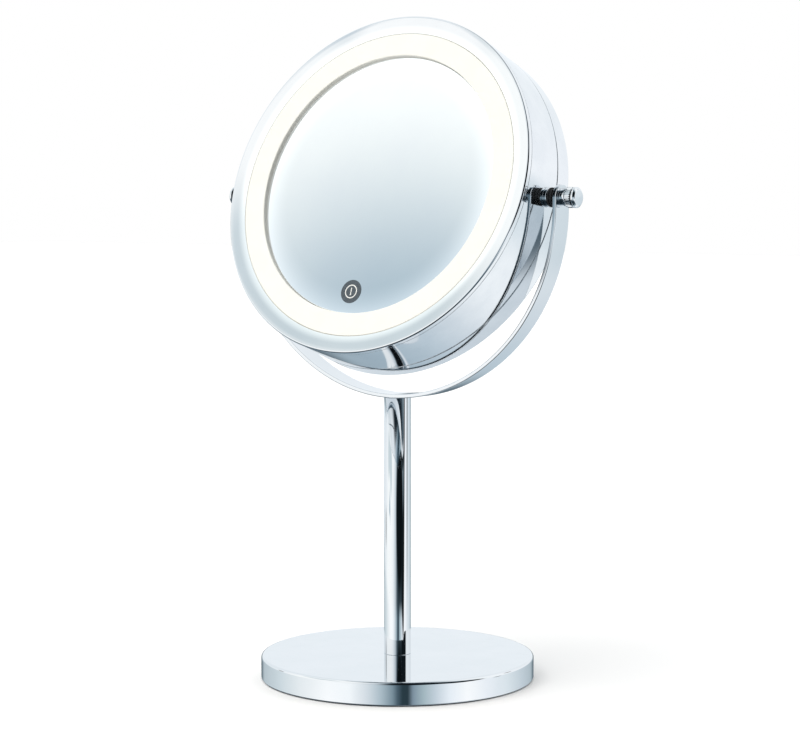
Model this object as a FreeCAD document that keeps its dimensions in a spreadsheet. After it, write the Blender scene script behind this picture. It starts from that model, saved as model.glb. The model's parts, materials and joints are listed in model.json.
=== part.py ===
"""Two-sided illuminated cosmetic mirror on a fixed pedestal.

The row frame has its origin at the centre of the base's underside, +Z up and -Y towards the user.
Pieces of the mirror head are drawn in the head's own frame, whose origin is the tilt pivot, whose
+Z points out of the lit face, whose +Y points up the glass and whose +X is the tilt axis.
"""
import FreeCAD, Part
import math
import os
import re

import Sketcher

SIZES = {
    # stand
    "base_radius": 67.0,
    "base_height": 11.5,
    "base_wall": 1.2,
    "base_edge_round": 1.5,
    "base_lift": 0.6,
    "pad_thickness": 1.8,
    "ballast_gap": 1.3,
    "stem_radius": 6.6,
    "stem_wall": 1.2,
    "plug_length": 16.0,
    "base_bolt_radius": 3.0,
    "bolt_head_flats": 10.0,
    "bolt_head_height": 3.2,
    "washer_radius": 6.6,
    "washer_thickness": 1.2,
    # yoke
    "pivot_height": 235.5,
    "swing_gap": 3.13,
    "yoke_thickness": 2.0,
    "yoke_width": 12.0,
    "yoke_drop": 4.5,
    "yoke_screw_radius": 2.5,
    "yoke_screw_head_radius": 4.4,
    "yoke_screw_length": 13.0,
    # head, measured along its own axis from the tilt pivot
    "head_tilt": 20.0,
    "drum_radius": 85.2,
    "drum_wall": 2.0,
    "front_depth": 21.5,
    "seam_depth": 6.0,
    "seam_gap": 0.4,
    "bezel_depth": 3.0,
    "bezel_fall": 1.2,
    "bezel_lip": 1.6,
    "bezel_joint": 0.15,
    "rim_round": 1.2,
    "skirt_depth": 3.0,
    "skirt_wall": 1.6,
    # lit face
    "bezel_width": 8.9,
    "lit_radius": "=drum_radius - bezel_width",
    "lit_width": 11.3,
    "mirror_radius": "=lit_radius - lit_width",
    "mirror_thickness": 2.0,
    "mirror_recess": 2.2,
    "tape_thickness": 0.4,
    "diffuser_wall": 1.6,
    "diffuser_edge_round": 0.6,
    "flange_reach": 4.5,
    "carrier_wall": 1.6,
    "trough_floor": 7.0,
    "led_board_thickness": 1.0,
    "led_width": 2.8,
    "led_length": 3.5,
    "led_height": 0.8,
    # touch switch
    "touch_x": -2.0,
    "touch_inset": 11.0,
    "touch_y": "=touch_inset - mirror_radius",
    "touch_mark_radius": 5.75,
    "touch_film": 0.1,
    "electrode_radius": 6.0,
    "electrode_thickness": 0.8,
    "pillar_radius": 2.5,
    # electronics and cells
    "board_width": 40.0,
    "board_depth": 24.0,
    "board_thickness": 1.2,
    "board_height": 9.0,
    "cell_radius": 5.15,
    "cell_length": 44.5,
    "cell_nub_radius": 1.9,
    "cell_nub_length": 0.8,
    "cell_gap": 0.7,
    "cell_pitch": "=2 * cell_radius + cell_gap",
    "cell_centre_y": 14.0,
    "tray_wall": 1.5,
    "contact_thickness": 0.4,
    "contact_size": 9.0,
    "leaf_length": 6.3,
    "tray_half_length": "=(cell_length + leaf_length) / 2 + contact_thickness",
    "leaf_half_height": 3.6,
    "leaf_width": 5.0,
    "leaf_thickness": 0.3,
    # bayonet between the front and rear shells
    "bulkhead_thickness": 1.6,
    "collar_inset": 6.5,
    "collar_radius": "=mirror_radius - collar_inset",
    "collar_wall": 2.0,
    "lug_reach": 4.0,
    "lug_height": 1.5,
    "lug_angle": 24.0,
    "bayonet_turn": 32.0,
    # rear glass
    "rear_rim_width": 8.7,
    "rear_rim_cover": 2.0,
    "rear_opening_radius": "=drum_radius - rear_rim_width",
    "rear_glass_radius": "=rear_opening_radius + rear_rim_cover",
    "rear_glass_thickness": 2.0,
    "rear_curve_radius": 1000.0,
    "rear_dish": "=rear_glass_radius ^ 2 / (2 * rear_curve_radius)",
    "rear_room": 14.62,
    "rear_depth": "=rear_room + rear_dish",
    "backing_thickness": 1.5,
    # housing screws
    "post_offset": 6.0,
    "post_circle_radius": "=mirror_radius + post_offset",
    "post_radius": 3.7,
    "screw_radius": 1.45,
    "screw_head_radius": 2.8,
    "screw_head_height": 1.6,
    "screw_bite": 7.0,
    # tilt pivots
    "stud_radius": 2.0,
    "stud_reach": 3.2,
    "bush_radius": 3.0,
    "bush_flange_radius": 4.8,
    "bush_flange": 1.6,
    "bush_reach": 3.6,
    "nut_flats": 8.0,
    "nut_thickness": 2.5,
    "grommet_radius": 3.9,
    "grommet_rib": 0.7,
    "knob_radius": 4.8,
    "knob_length": 8.8,
    # clearances
    "fit_gap": 0.2,
    "running_gap": 0.05,
    "face_gap": 0.1,
    "moving_gap": 0.3,
    "bore_gap": 0.15,
}

LED_COUNT = 24
POST_COUNT = 4
LUG_COUNT = 3
CELL_COUNT = 3
GROMMET_RIBS = 3
FULL_TURN = 360.0

doc = FreeCAD.newDocument("lit_mirror")
sheet = doc.addObject("Spreadsheet::Sheet", "Sizes")
for row, (alias, value) in enumerate(SIZES.items(), start=1):
    sheet.set(f"A{row}", alias)
    sheet.set(f"B{row}", str(value))
    sheet.setAlias(f"B{row}", alias)
doc.recompute()

# Heights along the head's axis that several pieces share.
LIT_FACE = "(front_depth - bezel_fall - face_gap)"
GLASS_FRONT = f"({LIT_FACE} - mirror_recess)"
GLASS_BACK = f"({GLASS_FRONT} - mirror_thickness)"
CARRIER_FACE = f"({GLASS_BACK} - tape_thickness)"
FLANGE_TOP = "(front_depth - bezel_fall - bezel_lip - moving_gap)"
FLANGE_BOTTOM = f"({FLANGE_TOP} - diffuser_wall)"
CARRIER_RADIUS = "mirror_radius"
TROUGH_RADIUS = "(lit_radius + flange_reach - 0.8)"
BEZEL_SEAT = "(front_depth - bezel_depth)"
FRONT_EDGE = "(0 - seam_depth + seam_gap / 2)"
REAR_EDGE = "(0 - seam_depth - seam_gap / 2)"
BULKHEAD_TOP = f"({FRONT_EDGE} + bulkhead_thickness)"
DRUM_INSIDE = "(drum_radius - drum_wall)"
REAR_LIP = "(0 - rear_depth + bezel_fall + bezel_lip)"
BACKING_BOTTOM = f"({REAR_LIP} + rear_glass_thickness + rear_dish + moving_gap)"
BACKING_TOP = f"({BACKING_BOTTOM} + backing_thickness)"
LUG_BOTTOM = f"({BULKHEAD_TOP} + moving_gap)"
# Distances along the tilt axis.
YOKE_INSIDE = "(sqrt(drum_radius ^ 2 + front_depth ^ 2) + swing_gap)"
YOKE_OUTSIDE = f"({YOKE_INSIDE} + yoke_thickness)"
FLANGE_START = "(drum_radius + running_gap)"
FLANGE_END = f"({FLANGE_START} + bush_flange)"
# Heights in the stand.
YOKE_CENTRE = "(pivot_height - yoke_drop)"
STEM_TOP = f"({YOKE_CENTRE} - {YOKE_OUTSIDE})"
TUBE_INSIDE = "(stem_radius - stem_wall)"
BALLAST_TOP = "(base_height - base_wall)"
WASHER_TOP = "(pad_thickness + face_gap + bolt_head_height + washer_thickness)"

pieces = []


def bound(text):
    """Return an expression in which each size's name is bound to its cell."""
    return re.sub(r"[a-z_]+", lambda m: f"Sizes.{m.group(0)}" if m.group(0) in SIZES else m.group(0), text)


def number(text):
    """Return the present value of an expression on the sheet's sizes."""
    return float(sheet.evalExpression(bound(text)))


def head_place(obj, turn=0.0):
    """Seat a piece in the head's frame, turned about the head's axis by `turn` degrees."""
    lean = FreeCAD.Rotation(FreeCAD.Vector(1, 0, 0), 90.0 - number("head_tilt"))
    spin = FreeCAD.Rotation(FreeCAD.Vector(0, 0, 1), turn)
    obj.Placement = FreeCAD.Placement(FreeCAD.Vector(0, 0, number("pivot_height")), lean * spin)
    obj.setExpression(".Placement.Base.z", bound("pivot_height"))


def level_place(obj, turn=0.0):
    """Seat a piece at the tilt pivot without the head's lean, turned about the vertical."""
    obj.Placement = FreeCAD.Placement(FreeCAD.Vector(0, 0, number("pivot_height")),
                                      FreeCAD.Rotation(FreeCAD.Vector(0, 0, 1), turn))
    obj.setExpression(".Placement.Base.z", bound("pivot_height"))


def new_body(label):
    body = doc.addObject("PartDesign::Body", label)
    body.Label = label
    pieces.append(body)
    return body


def origin_plane(body, role):
    return next(f for f in body.Origin.OriginFeatures if f.Role == role)


def new_sketch(body, name, role):
    sketch = body.newObject("Sketcher::SketchObject", f"{body.Name}_{name}")
    sketch.AttachmentSupport = (origin_plane(body, role), [""])
    sketch.MapMode = "FlatFace"
    return sketch


def pin_point(sketch, geometry, end, x_text, y_text):
    """Hold one point of the sketch at two expressions, measured from the sketch's origin."""
    for kind, text in (("DistanceX", x_text), ("DistanceY", y_text)):
        value = number(text)
        index = sketch.addConstraint(Sketcher.Constraint(kind, -1, 1, geometry, end, value))
        sketch.setExpression(f"Constraints[{index}]", bound(text))


def outline(sketch, corners):
    """Draw a closed outline of straight lines whose corners are pairs of expressions."""
    points = [FreeCAD.Vector(number(x), number(y), 0) for x, y in corners]
    first = sketch.GeometryCount
    count = len(points)
    for i in range(count):
        sketch.addGeometry(Part.LineSegment(points[i], points[(i + 1) % count]))
    for i in range(count):
        sketch.addConstraint(Sketcher.Constraint("Coincident", first + i, 2, first + (i + 1) % count, 1))
    for i, (x, y) in enumerate(corners):
        pin_point(sketch, first + i, 1, x, y)


def circle(sketch, x, y, radius):
    """Draw a circle whose centre and radius are expressions."""
    centre = FreeCAD.Vector(number(x), number(y), 0)
    index = sketch.addGeometry(Part.Circle(centre, FreeCAD.Vector(0, 0, 1), number(radius)))
    pin_point(sketch, index, 3, x, y)
    hold = sketch.addConstraint(Sketcher.Constraint("Radius", index, number(radius)))
    sketch.setExpression(f"Constraints[{hold}]", bound(radius))


def feature(body, kind, name, sketch, **settings):
    """Add a PartDesign feature; settings given as text are bound to the sheet."""
    made = body.newObject(f"PartDesign::{kind}", f"{body.Name}_{name}")
    made.Profile = sketch
    for key, value in settings.items():
        if isinstance(value, str) and key in ("Length", "Length2", "Angle"):
            made.setExpression(key, bound(value))
        else:
            setattr(made, key, value)
    sketch.Visibility = False
    return made


def revolve(body, corners, axis="V_Axis", role="XZ_Plane", name="section", kind="Revolution"):
    """Turn a closed outline right round one axis of its sketch."""
    sketch = new_sketch(body, f"{name}_sketch", role)
    outline(sketch, corners)
    return feature(body, kind, name, sketch, ReferenceAxis=(sketch, [axis]), Angle=FULL_TURN)


def round_edges(body, radius, wanted, name="round"):
    """Round the edges of the body's tip for which wanted(edge) is true."""
    doc.recompute()
    tip = body.Tip
    names = [f"Edge{i}" for i, edge in enumerate(tip.Shape.Edges, start=1) if wanted(edge)]
    fillet = body.newObject("PartDesign::Fillet", f"{body.Name}_{name}")
    fillet.Base = (tip, names)
    fillet.setExpression("Radius", bound(radius))
    return fillet


def ring_edge(edge, radius, height, slack=0.01):
    """Tell whether an edge is the full circle of that radius at that height on the Z axis."""
    curve = edge.Curve
    if not isinstance(curve, Part.Circle):
        return False
    return abs(curve.Radius - radius) < slack and abs(curve.Center.z - height) < slack


def repeat_round(body, original, count):
    """Repeat a feature evenly round the body's own Z axis."""
    pattern = body.newObject("PartDesign::PolarPattern", f"{body.Name}_pattern_{original.Name}")
    pattern.Originals = [original]
    pattern.Axis = (origin_plane(body, "Z_Axis"), [""])
    pattern.Angle = FULL_TURN
    pattern.Occurrences = count
    body.Tip = pattern
    return pattern


def box_corners(x0, x1, y0, y1):
    return [(x0, y0), (x1, y0), (x1, y1), (x0, y1)]


def slab(body, corners, start, length, name="slab", kind="Pad", reverse=False):
    """Pad or pocket an outline on the body's XY plane, from a height given by an expression."""
    sketch = new_sketch(body, f"{name}_sketch", "XY_Plane")
    sketch.setExpression(".AttachmentOffset.Base.z", bound(start))
    outline(sketch, corners)
    return feature(body, kind, name, sketch, Length=length, Reversed=reverse)


def disc_cut(body, x, y, radius, start, length, name, reverse=True):
    """Cut a round hole upwards from a height given by an expression."""
    sketch = new_sketch(body, f"{name}_sketch", "XY_Plane")
    sketch.setExpression(".AttachmentOffset.Base.z", bound(start))
    circle(sketch, x, y, radius)
    return feature(body, "Pocket", name, sketch, Length=length, Reversed=reverse)


# ---- stand ---------------------------------------------------------------------------------------

def build_base_shell():
    """Plated pressed cover: flat top, rounded shoulder, straight skirt, open below."""
    body = new_body("base_shell")
    inside = "(base_radius - base_wall)"
    revolve(body, [
        ("base_bolt_radius + fit_gap", BALLAST_TOP), (inside, BALLAST_TOP),
        (inside, "base_lift"), ("base_radius", "base_lift"),
        ("base_radius", "base_height"), ("base_bolt_radius + fit_gap", "base_height"),
    ])
    radius, height = number("base_radius"), number("base_height")
    round_edges(body, "base_edge_round", lambda edge: ring_edge(edge, radius, height))


def build_ballast_disc():
    """Cast weight that fills the shell, counterbored from below for the bolt head and washer."""
    body = new_body("ballast_disc")
    outside = "(base_radius - base_wall - ballast_gap)"
    revolve(body, [
        ("base_bolt_radius + fit_gap", WASHER_TOP), ("washer_radius + fit_gap", WASHER_TOP),
        ("washer_radius + fit_gap", "pad_thickness"), (outside, "pad_thickness"),
        (outside, BALLAST_TOP), ("base_bolt_radius + fit_gap", BALLAST_TOP),
    ])


def build_base_pad():
    """Soft non-slip disc that carries the whole stand."""
    body = new_body("base_pad")
    outside = "(base_radius - base_wall - moving_gap)"
    revolve(body, [("0", "0"), (outside, "0"), (outside, "pad_thickness"), ("0", "pad_thickness")])


def build_base_fixing():
    """Hex bolt and washer that pull the stem's foot plug down on the base."""
    washer = new_body("base_washer")
    low = "(pad_thickness + face_gap + bolt_head_height)"
    revolve(washer, [
        ("base_bolt_radius + fit_gap", low), ("washer_radius", low),
        ("washer_radius", WASHER_TOP), ("base_bolt_radius + fit_gap", WASHER_TOP),
    ])
    bolt = new_body("base_bolt")
    sketch = new_sketch(bolt, "head_sketch", "XY_Plane")
    sketch.setExpression(".AttachmentOffset.Base.z", bound("pad_thickness + face_gap"))
    hexagon(sketch, "bolt_head_flats")
    feature(bolt, "Pad", "head", sketch, Length="bolt_head_height")
    shank_top = "(base_height + plug_length - 2)"
    revolve(bolt, [
        ("0", low), ("base_bolt_radius", low), ("base_bolt_radius", shank_top), ("0", shank_top),
    ], name="shank")


def hexagon(sketch, flats):
    """Draw a hexagon about the sketch's origin with two sides level."""
    corner = f"({flats} / sqrt(3))"
    half = f"({flats} / 2)"
    outline(sketch, [
        (f"{corner}", "0"), (f"{corner} / 2", half), (f"0 - {corner} / 2", half),
        (f"0 - {corner}", "0"), (f"0 - {corner} / 2", f"0 - {half}"), (f"{corner} / 2", f"0 - {half}"),
    ])


def build_stem():
    """One plain tube whose top is hollowed to the yoke's curve."""
    body = new_body("stem_tube")
    tall = f"({STEM_TOP} + stem_radius / 4)"
    revolve(body, [
        (TUBE_INSIDE, "base_height"), ("stem_radius", "base_height"),
        ("stem_radius", tall), (TUBE_INSIDE, tall),
    ])
    saddle = new_sketch(body, "saddle_sketch", "XZ_Plane")
    circle(saddle, "0", YOKE_CENTRE, YOKE_OUTSIDE)
    feature(body, "Pocket", "saddle", saddle, Length="stem_radius * 4", Midplane=True)


def build_stem_plugs():
    """Threaded plugs pressed into the two ends of the tube."""
    top = new_body("stem_top_plug")
    low = f"({STEM_TOP} - plug_length)"
    revolve(top, [
        ("yoke_screw_radius", low), (TUBE_INSIDE, low),
        (TUBE_INSIDE, STEM_TOP), ("yoke_screw_radius", STEM_TOP),
    ])
    foot = new_body("stem_foot_plug")
    high = "(base_height + plug_length)"
    revolve(foot, [
        ("base_bolt_radius", "base_height"), (TUBE_INSIDE, "base_height"),
        (TUBE_INSIDE, high), ("base_bolt_radius", high),
    ])


def build_yoke():
    """Flat strip bent to a half circle with straight ears, drilled for the pivots and the stem."""
    body = new_body("yoke")
    sketch = new_sketch(body, "strip_sketch", "XZ_Plane")
    centre_z = number(YOKE_CENTRE)
    ear_top = "(pivot_height + yoke_width / 2)"
    centre = FreeCAD.Vector(0, centre_z, 0)
    normal = FreeCAD.Vector(0, 0, 1)
    for radius in (YOKE_INSIDE, YOKE_OUTSIDE):
        arc = Part.ArcOfCircle(Part.Circle(centre, normal, number(radius)), math.pi, 2 * math.pi)
        index = sketch.addGeometry(arc)
        pin_point(sketch, index, 3, "0", YOKE_CENTRE)
        pin_point(sketch, index, 1, f"0 - {radius}", YOKE_CENTRE)
        pin_point_y(sketch, index, 2, YOKE_CENTRE)
    for side in (-1, 1):
        draw_ear(sketch, side, ear_top)
    feature(body, "Pad", "strip", sketch, Length="yoke_width", Midplane=True)
    top = number(ear_top)
    round_edges(body, "yoke_width / 2 - running_gap", lambda edge: is_ear_corner(edge, top))
    bores = new_sketch(body, "pivot_bores_sketch", "YZ_Plane")
    circle(bores, "0", "pivot_height", "stud_radius + bore_gap")
    feature(body, "Pocket", "pivot_bores", bores, Length=f"{YOKE_OUTSIDE} * 4", Midplane=True)
    inner_bottom = f"({YOKE_CENTRE} - {YOKE_INSIDE})"
    revolve(body, [
        ("0", f"{STEM_TOP} - 1"), ("yoke_screw_radius + face_gap", f"{STEM_TOP} - 1"),
        ("yoke_screw_radius + face_gap", f"{STEM_TOP} + face_gap"),
        ("yoke_screw_head_radius + face_gap", inner_bottom),
        ("yoke_screw_head_radius + face_gap", f"{inner_bottom} + 1"), ("0", f"{inner_bottom} + 1"),
    ], name="countersink", kind="Groove")


def pin_point_y(sketch, geometry, end, y_text):
    """Hold only the height of one point of a sketch."""
    index = sketch.addConstraint(Sketcher.Constraint("DistanceY", -1, 1, geometry, end, number(y_text)))
    sketch.setExpression(f"Constraints[{index}]", bound(y_text))


def draw_ear(sketch, side, ear_top):
    """Close the strip's outline on one side with the three lines of its straight ear."""
    near = f"{side} * {YOKE_INSIDE}"
    far = f"{side} * {YOKE_OUTSIDE}"
    corners = [(near, YOKE_CENTRE), (near, ear_top), (far, ear_top), (far, YOKE_CENTRE)]
    points = [FreeCAD.Vector(number(x), number(y), 0) for x, y in corners]
    for start, end in zip(range(3), range(1, 4)):
        index = sketch.addGeometry(Part.LineSegment(points[start], points[end]))
        pin_point(sketch, index, 1, *corners[start])
        pin_point(sketch, index, 2, *corners[end])


def is_ear_corner(edge, top, slack=0.01):
    """Tell whether an edge is one of the short corners across the strip's ends."""
    box = edge.BoundBox
    return abs(box.ZMin - top) < slack and abs(box.ZMax - top) < slack and box.YLength < slack


def build_yoke_screw():
    """Countersunk screw, flush inside the yoke, that holds it on the stem."""
    body = new_body("yoke_screw")
    top = f"({YOKE_CENTRE} - {YOKE_INSIDE} - face_gap)"
    neck = f"({STEM_TOP} + face_gap * 2)"
    tip = f"({STEM_TOP} - yoke_screw_length)"
    revolve(body, [
        ("0", tip), ("yoke_screw_radius", tip), ("yoke_screw_radius", neck),
        ("yoke_screw_head_radius", top), ("0", top),
    ])


# ---- tilt pivots ---------------------------------------------------------------------------------

def build_pivot(side_name, turn):
    """One side's bush, lock nut, ribbed friction grommet, stud and knurled knob."""
    bush = new_body(f"pivot_bush_{side_name}")
    bore = "(stud_radius + running_gap)"
    inner_end = f"({DRUM_INSIDE} - bush_reach)"
    revolve(bush, [
        (inner_end, bore), (inner_end, "bush_radius"), (FLANGE_START, "bush_radius"),
        (FLANGE_START, "bush_flange_radius"), (FLANGE_END, "bush_flange_radius"), (FLANGE_END, bore),
    ], axis="H_Axis", role="XY_Plane")
    head_place(bush, turn)

    nut = new_body(f"pivot_nut_{side_name}")
    sketch = new_sketch(nut, "flats_sketch", "YZ_Plane")
    seat = f"({DRUM_INSIDE} - fit_gap)"
    sketch.setExpression(".AttachmentOffset.Base.z", bound(f"{seat} - nut_thickness"))
    hexagon(sketch, "nut_flats")
    circle(sketch, "0", "0", "bush_radius")
    feature(nut, "Pad", "flats", sketch, Length="nut_thickness")
    head_place(nut, turn)

    grommet = new_body(f"friction_grommet_{side_name}")
    start = f"({FLANGE_END} + face_gap)"
    span = f"(({YOKE_INSIDE} - {start}) / {2 * GROMMET_RIBS - 1})"
    hole = "(stud_radius + fit_gap)"
    corners = [(start, hole)]
    for step in range(2 * GROMMET_RIBS - 1):
        outer = "(grommet_radius + grommet_rib)" if step % 2 == 0 else "grommet_radius"
        corners.append((f"{start} + {step} * {span}", outer))
        corners.append((f"{start} + {step + 1} * {span}", outer))
    corners.append((YOKE_INSIDE, hole))
    revolve(grommet, corners, axis="H_Axis", role="XY_Plane")
    level_place(grommet, turn)

    stud = new_body(f"knob_stud_{side_name}")
    stud_tip = f"({YOKE_OUTSIDE} + knob_length * 0.7)"
    stud_end = f"({DRUM_INSIDE} - stud_reach)"
    revolve(stud, [
        (stud_end, "0"), (stud_end, "stud_radius"), (stud_tip, "stud_radius"), (stud_tip, "0"),
    ], axis="H_Axis", role="XY_Plane")
    level_place(stud, turn)

    knob = new_body(f"knob_{side_name}")
    face = f"({YOKE_OUTSIDE} + running_gap)"
    end = f"({YOKE_OUTSIDE} + knob_length)"
    collar = f"({face} + knob_length * 0.27)"
    groove = f"({end} - knob_length * 0.31)"
    revolve(knob, [
        (face, "stud_radius"), (face, "knob_radius * 0.9"), (collar, "knob_radius * 0.9"),
        (collar, "knob_radius"), (groove, "knob_radius"),
        (groove, "knob_radius * 0.78"), (f"{groove} + knob_length * 0.08", "knob_radius * 0.78"),
        (f"{groove} + knob_length * 0.08", "knob_radius"), (f"{end} - knob_length * 0.12", "knob_radius"),
        (f"{end} - knob_length * 0.03", "knob_radius * 0.85"), (end, "knob_radius * 0.6"),
        (end, "0"), (stud_tip, "0"), (stud_tip, "stud_radius"),
    ], axis="H_Axis", role="XY_Plane")
    level_place(knob, turn)


# ---- front of the head ---------------------------------------------------------------------------

def build_front_bezel():
    """Bevelled ring with a skirt that snaps inside the drum."""
    body = new_body("front_bezel")
    skirt = f"({DRUM_INSIDE} - bore_gap)"
    lip = "(lit_radius + moving_gap)"
    under = "(front_depth - bezel_fall - bezel_lip)"
    foot = f"({BEZEL_SEAT} - skirt_depth)"
    revolve(body, [
        ("drum_radius", BEZEL_SEAT), ("drum_radius", "front_depth"),
        (lip, "front_depth - bezel_fall"), (lip, under), (f"{skirt} - skirt_wall", under),
        (f"{skirt} - skirt_wall", foot), (skirt, foot), (skirt, BEZEL_SEAT),
    ])
    radius, height = number("drum_radius"), number("front_depth")
    round_edges(body, "rim_round", lambda edge: ring_edge(edge, radius, height))
    head_place(body)


def build_front_housing():
    """Front half of the drum: outer wall and the bulkhead that the bayonet and posts use."""
    body = new_body("front_housing")
    opening = "(collar_radius + moving_gap)"
    top = f"({BEZEL_SEAT} - bezel_joint)"
    revolve(body, [
        (opening, FRONT_EDGE), ("drum_radius", FRONT_EDGE), ("drum_radius", top),
        (DRUM_INSIDE, top), (DRUM_INSIDE, BULKHEAD_TOP), (opening, BULKHEAD_TOP),
    ])
    notch = new_sketch(body, "notch_sketch", "XY_Plane")
    notch.setExpression(".AttachmentOffset.Base.z", bound(f"{FRONT_EDGE} - 1"))
    wedge(notch, "collar_radius - collar_wall", "collar_radius + lug_reach + moving_gap * 2",
          "bayonet_turn", "lug_angle / 2 + 2")
    cut = feature(body, "Pocket", "notch", notch, Length="bulkhead_thickness + 2", Reversed=True)
    repeat_round(body, cut, LUG_COUNT)
    hole = new_sketch(body, "screw_hole_sketch", "XY_Plane")
    hole.setExpression(".AttachmentOffset.Base.z", bound(f"{FRONT_EDGE} - 1"))
    diagonal = "(post_circle_radius * 0.70710678)"
    circle(hole, diagonal, diagonal, "screw_radius + fit_gap")
    cut = feature(body, "Pocket", "screw_hole", hole, Length="bulkhead_thickness + 2", Reversed=True)
    repeat_round(body, cut, POST_COUNT)
    bores = new_sketch(body, "bush_bores_sketch", "YZ_Plane")
    circle(bores, "0", "0", "bush_radius + running_gap")
    feature(body, "Pocket", "bush_bores", bores, Length="drum_radius * 4", Midplane=True)
    head_place(body)


def wedge(sketch, inner, outer, middle, half):
    """Draw a four-sided sector between two radii; angles are degrees from the sketch's X axis."""
    corners = []
    for radius, sign in ((inner, -1), (outer, -1), (outer, 1), (inner, 1)):
        angle = f"({middle} + {sign} * ({half}))"
        reach = f"({radius})" if radius == inner else f"(({radius}) / cos({half}))"
        corners.append((f"{reach} * cos({angle})", f"{reach} * sin({angle})"))
    outline(sketch, corners)


def build_diffuser():
    """Opal ring: the lit face, an outer flange under the bezel and an inner wall round the glass."""
    body = new_body("light_diffuser")
    inner = "(mirror_radius + fit_gap)"
    revolve(body, [
        (inner, LIT_FACE), ("lit_radius", LIT_FACE), ("lit_radius", FLANGE_TOP),
        ("lit_radius + flange_reach", FLANGE_TOP), ("lit_radius + flange_reach", FLANGE_BOTTOM),
        ("lit_radius - diffuser_wall", FLANGE_BOTTOM),
        ("lit_radius - diffuser_wall", f"{LIT_FACE} - diffuser_wall"),
        (f"{inner} + diffuser_wall", f"{LIT_FACE} - diffuser_wall"),
        (f"{inner} + diffuser_wall", f"{CARRIER_FACE} - diffuser_wall / 2"),
        (inner, f"{CARRIER_FACE} - diffuser_wall / 2"),
    ])
    height = number(LIT_FACE)
    radii = (number(inner), number("lit_radius"))
    round_edges(body, "diffuser_edge_round",
                lambda edge: any(ring_edge(edge, radius, height) for radius in radii))
    head_place(body)


def build_front_mirror():
    """Flat silvered glass disc, its mounting tape and the printed mark of the touch switch."""
    glass = new_body("front_mirror")
    revolve(glass, [("0", GLASS_BACK), ("mirror_radius", GLASS_BACK),
                    ("mirror_radius", GLASS_FRONT), ("0", GLASS_FRONT)])
    head_place(glass)

    tape = new_body("mirror_tape")
    outer = "(mirror_radius - 3)"
    inner = "(mirror_radius - 8)"
    revolve(tape, [(inner, CARRIER_FACE), (outer, CARRIER_FACE), (outer, GLASS_BACK), (inner, GLASS_BACK)])
    disc_cut(tape, "touch_x", "touch_y", "electrode_radius + 0.6", f"{CARRIER_FACE} - 1",
             "tape_thickness + 2", "electrode_gap")
    head_place(tape)

    mark = new_body("touch_mark")
    sketch = new_sketch(mark, "disc_sketch", "XY_Plane")
    sketch.setExpression(".AttachmentOffset.Base.z", bound(GLASS_FRONT))
    circle(sketch, "touch_x", "touch_y", "touch_mark_radius")
    feature(mark, "Pad", "disc", sketch, Length="touch_film")
    head_place(mark)

    electrode = new_body("touch_electrode")
    sketch = new_sketch(electrode, "disc_sketch", "XY_Plane")
    sketch.setExpression(".AttachmentOffset.Base.z", bound(f"{GLASS_BACK} - electrode_thickness"))
    circle(sketch, "touch_x", "touch_y", "electrode_radius")
    feature(electrode, "Pad", "disc", sketch, Length="electrode_thickness")
    head_place(electrode)


def build_mirror_carrier():
    """White moulding that holds the glass, forms the light trough and stands on four posts."""
    body = new_body("mirror_carrier")
    under = f"({CARRIER_FACE} - carrier_wall)"
    floor_low = "(trough_floor - carrier_wall)"
    rim = f"({FLANGE_BOTTOM} - face_gap)"
    revolve(body, [
        ("0", under), (f"{CARRIER_RADIUS} - carrier_wall", under),
        (f"{CARRIER_RADIUS} - carrier_wall", floor_low), (TROUGH_RADIUS, floor_low), (TROUGH_RADIUS, rim),
        (f"{TROUGH_RADIUS} - carrier_wall", rim), (f"{TROUGH_RADIUS} - carrier_wall", "trough_floor"),
        (CARRIER_RADIUS, "trough_floor"), (CARRIER_RADIUS, CARRIER_FACE), ("0", CARRIER_FACE),
    ])
    posts = new_sketch(body, "post_sketch", "XY_Plane")
    posts.setExpression(".AttachmentOffset.Base.z", bound(BULKHEAD_TOP))
    diagonal = "(post_circle_radius * 0.70710678)"
    circle(posts, diagonal, diagonal, "post_radius")
    circle(posts, diagonal, diagonal, "screw_radius")
    post = feature(body, "Pad", "post", posts, Length=f"{floor_low} - {BULKHEAD_TOP}")
    repeat_round(body, post, POST_COUNT)
    disc_cut(body, "touch_x", "touch_y", "electrode_radius + 0.6", f"{under} - 1",
             "carrier_wall + 2", "electrode_window")
    head_place(body)


def build_lights():
    """Ring board in the floor of the trough and the diodes soldered round it."""
    board = new_body("led_board")
    inner = f"({CARRIER_RADIUS} + 1.2)"
    outer = f"({TROUGH_RADIUS} - carrier_wall - 1.2)"
    top = "(trough_floor + led_board_thickness)"
    revolve(board, [(inner, "trough_floor"), (outer, "trough_floor"), (outer, top), (inner, top)])
    head_place(board)

    leds = new_body("leds")
    middle = f"(({inner} + {outer}) / 2)"
    first = slab(leds, box_corners(f"{middle} - led_width / 2", f"{middle} + led_width / 2",
                                   "0 - led_length / 2", "led_length / 2"), top, "led_height")
    repeat_round(leds, first, LED_COUNT)
    head_place(leds)


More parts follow.
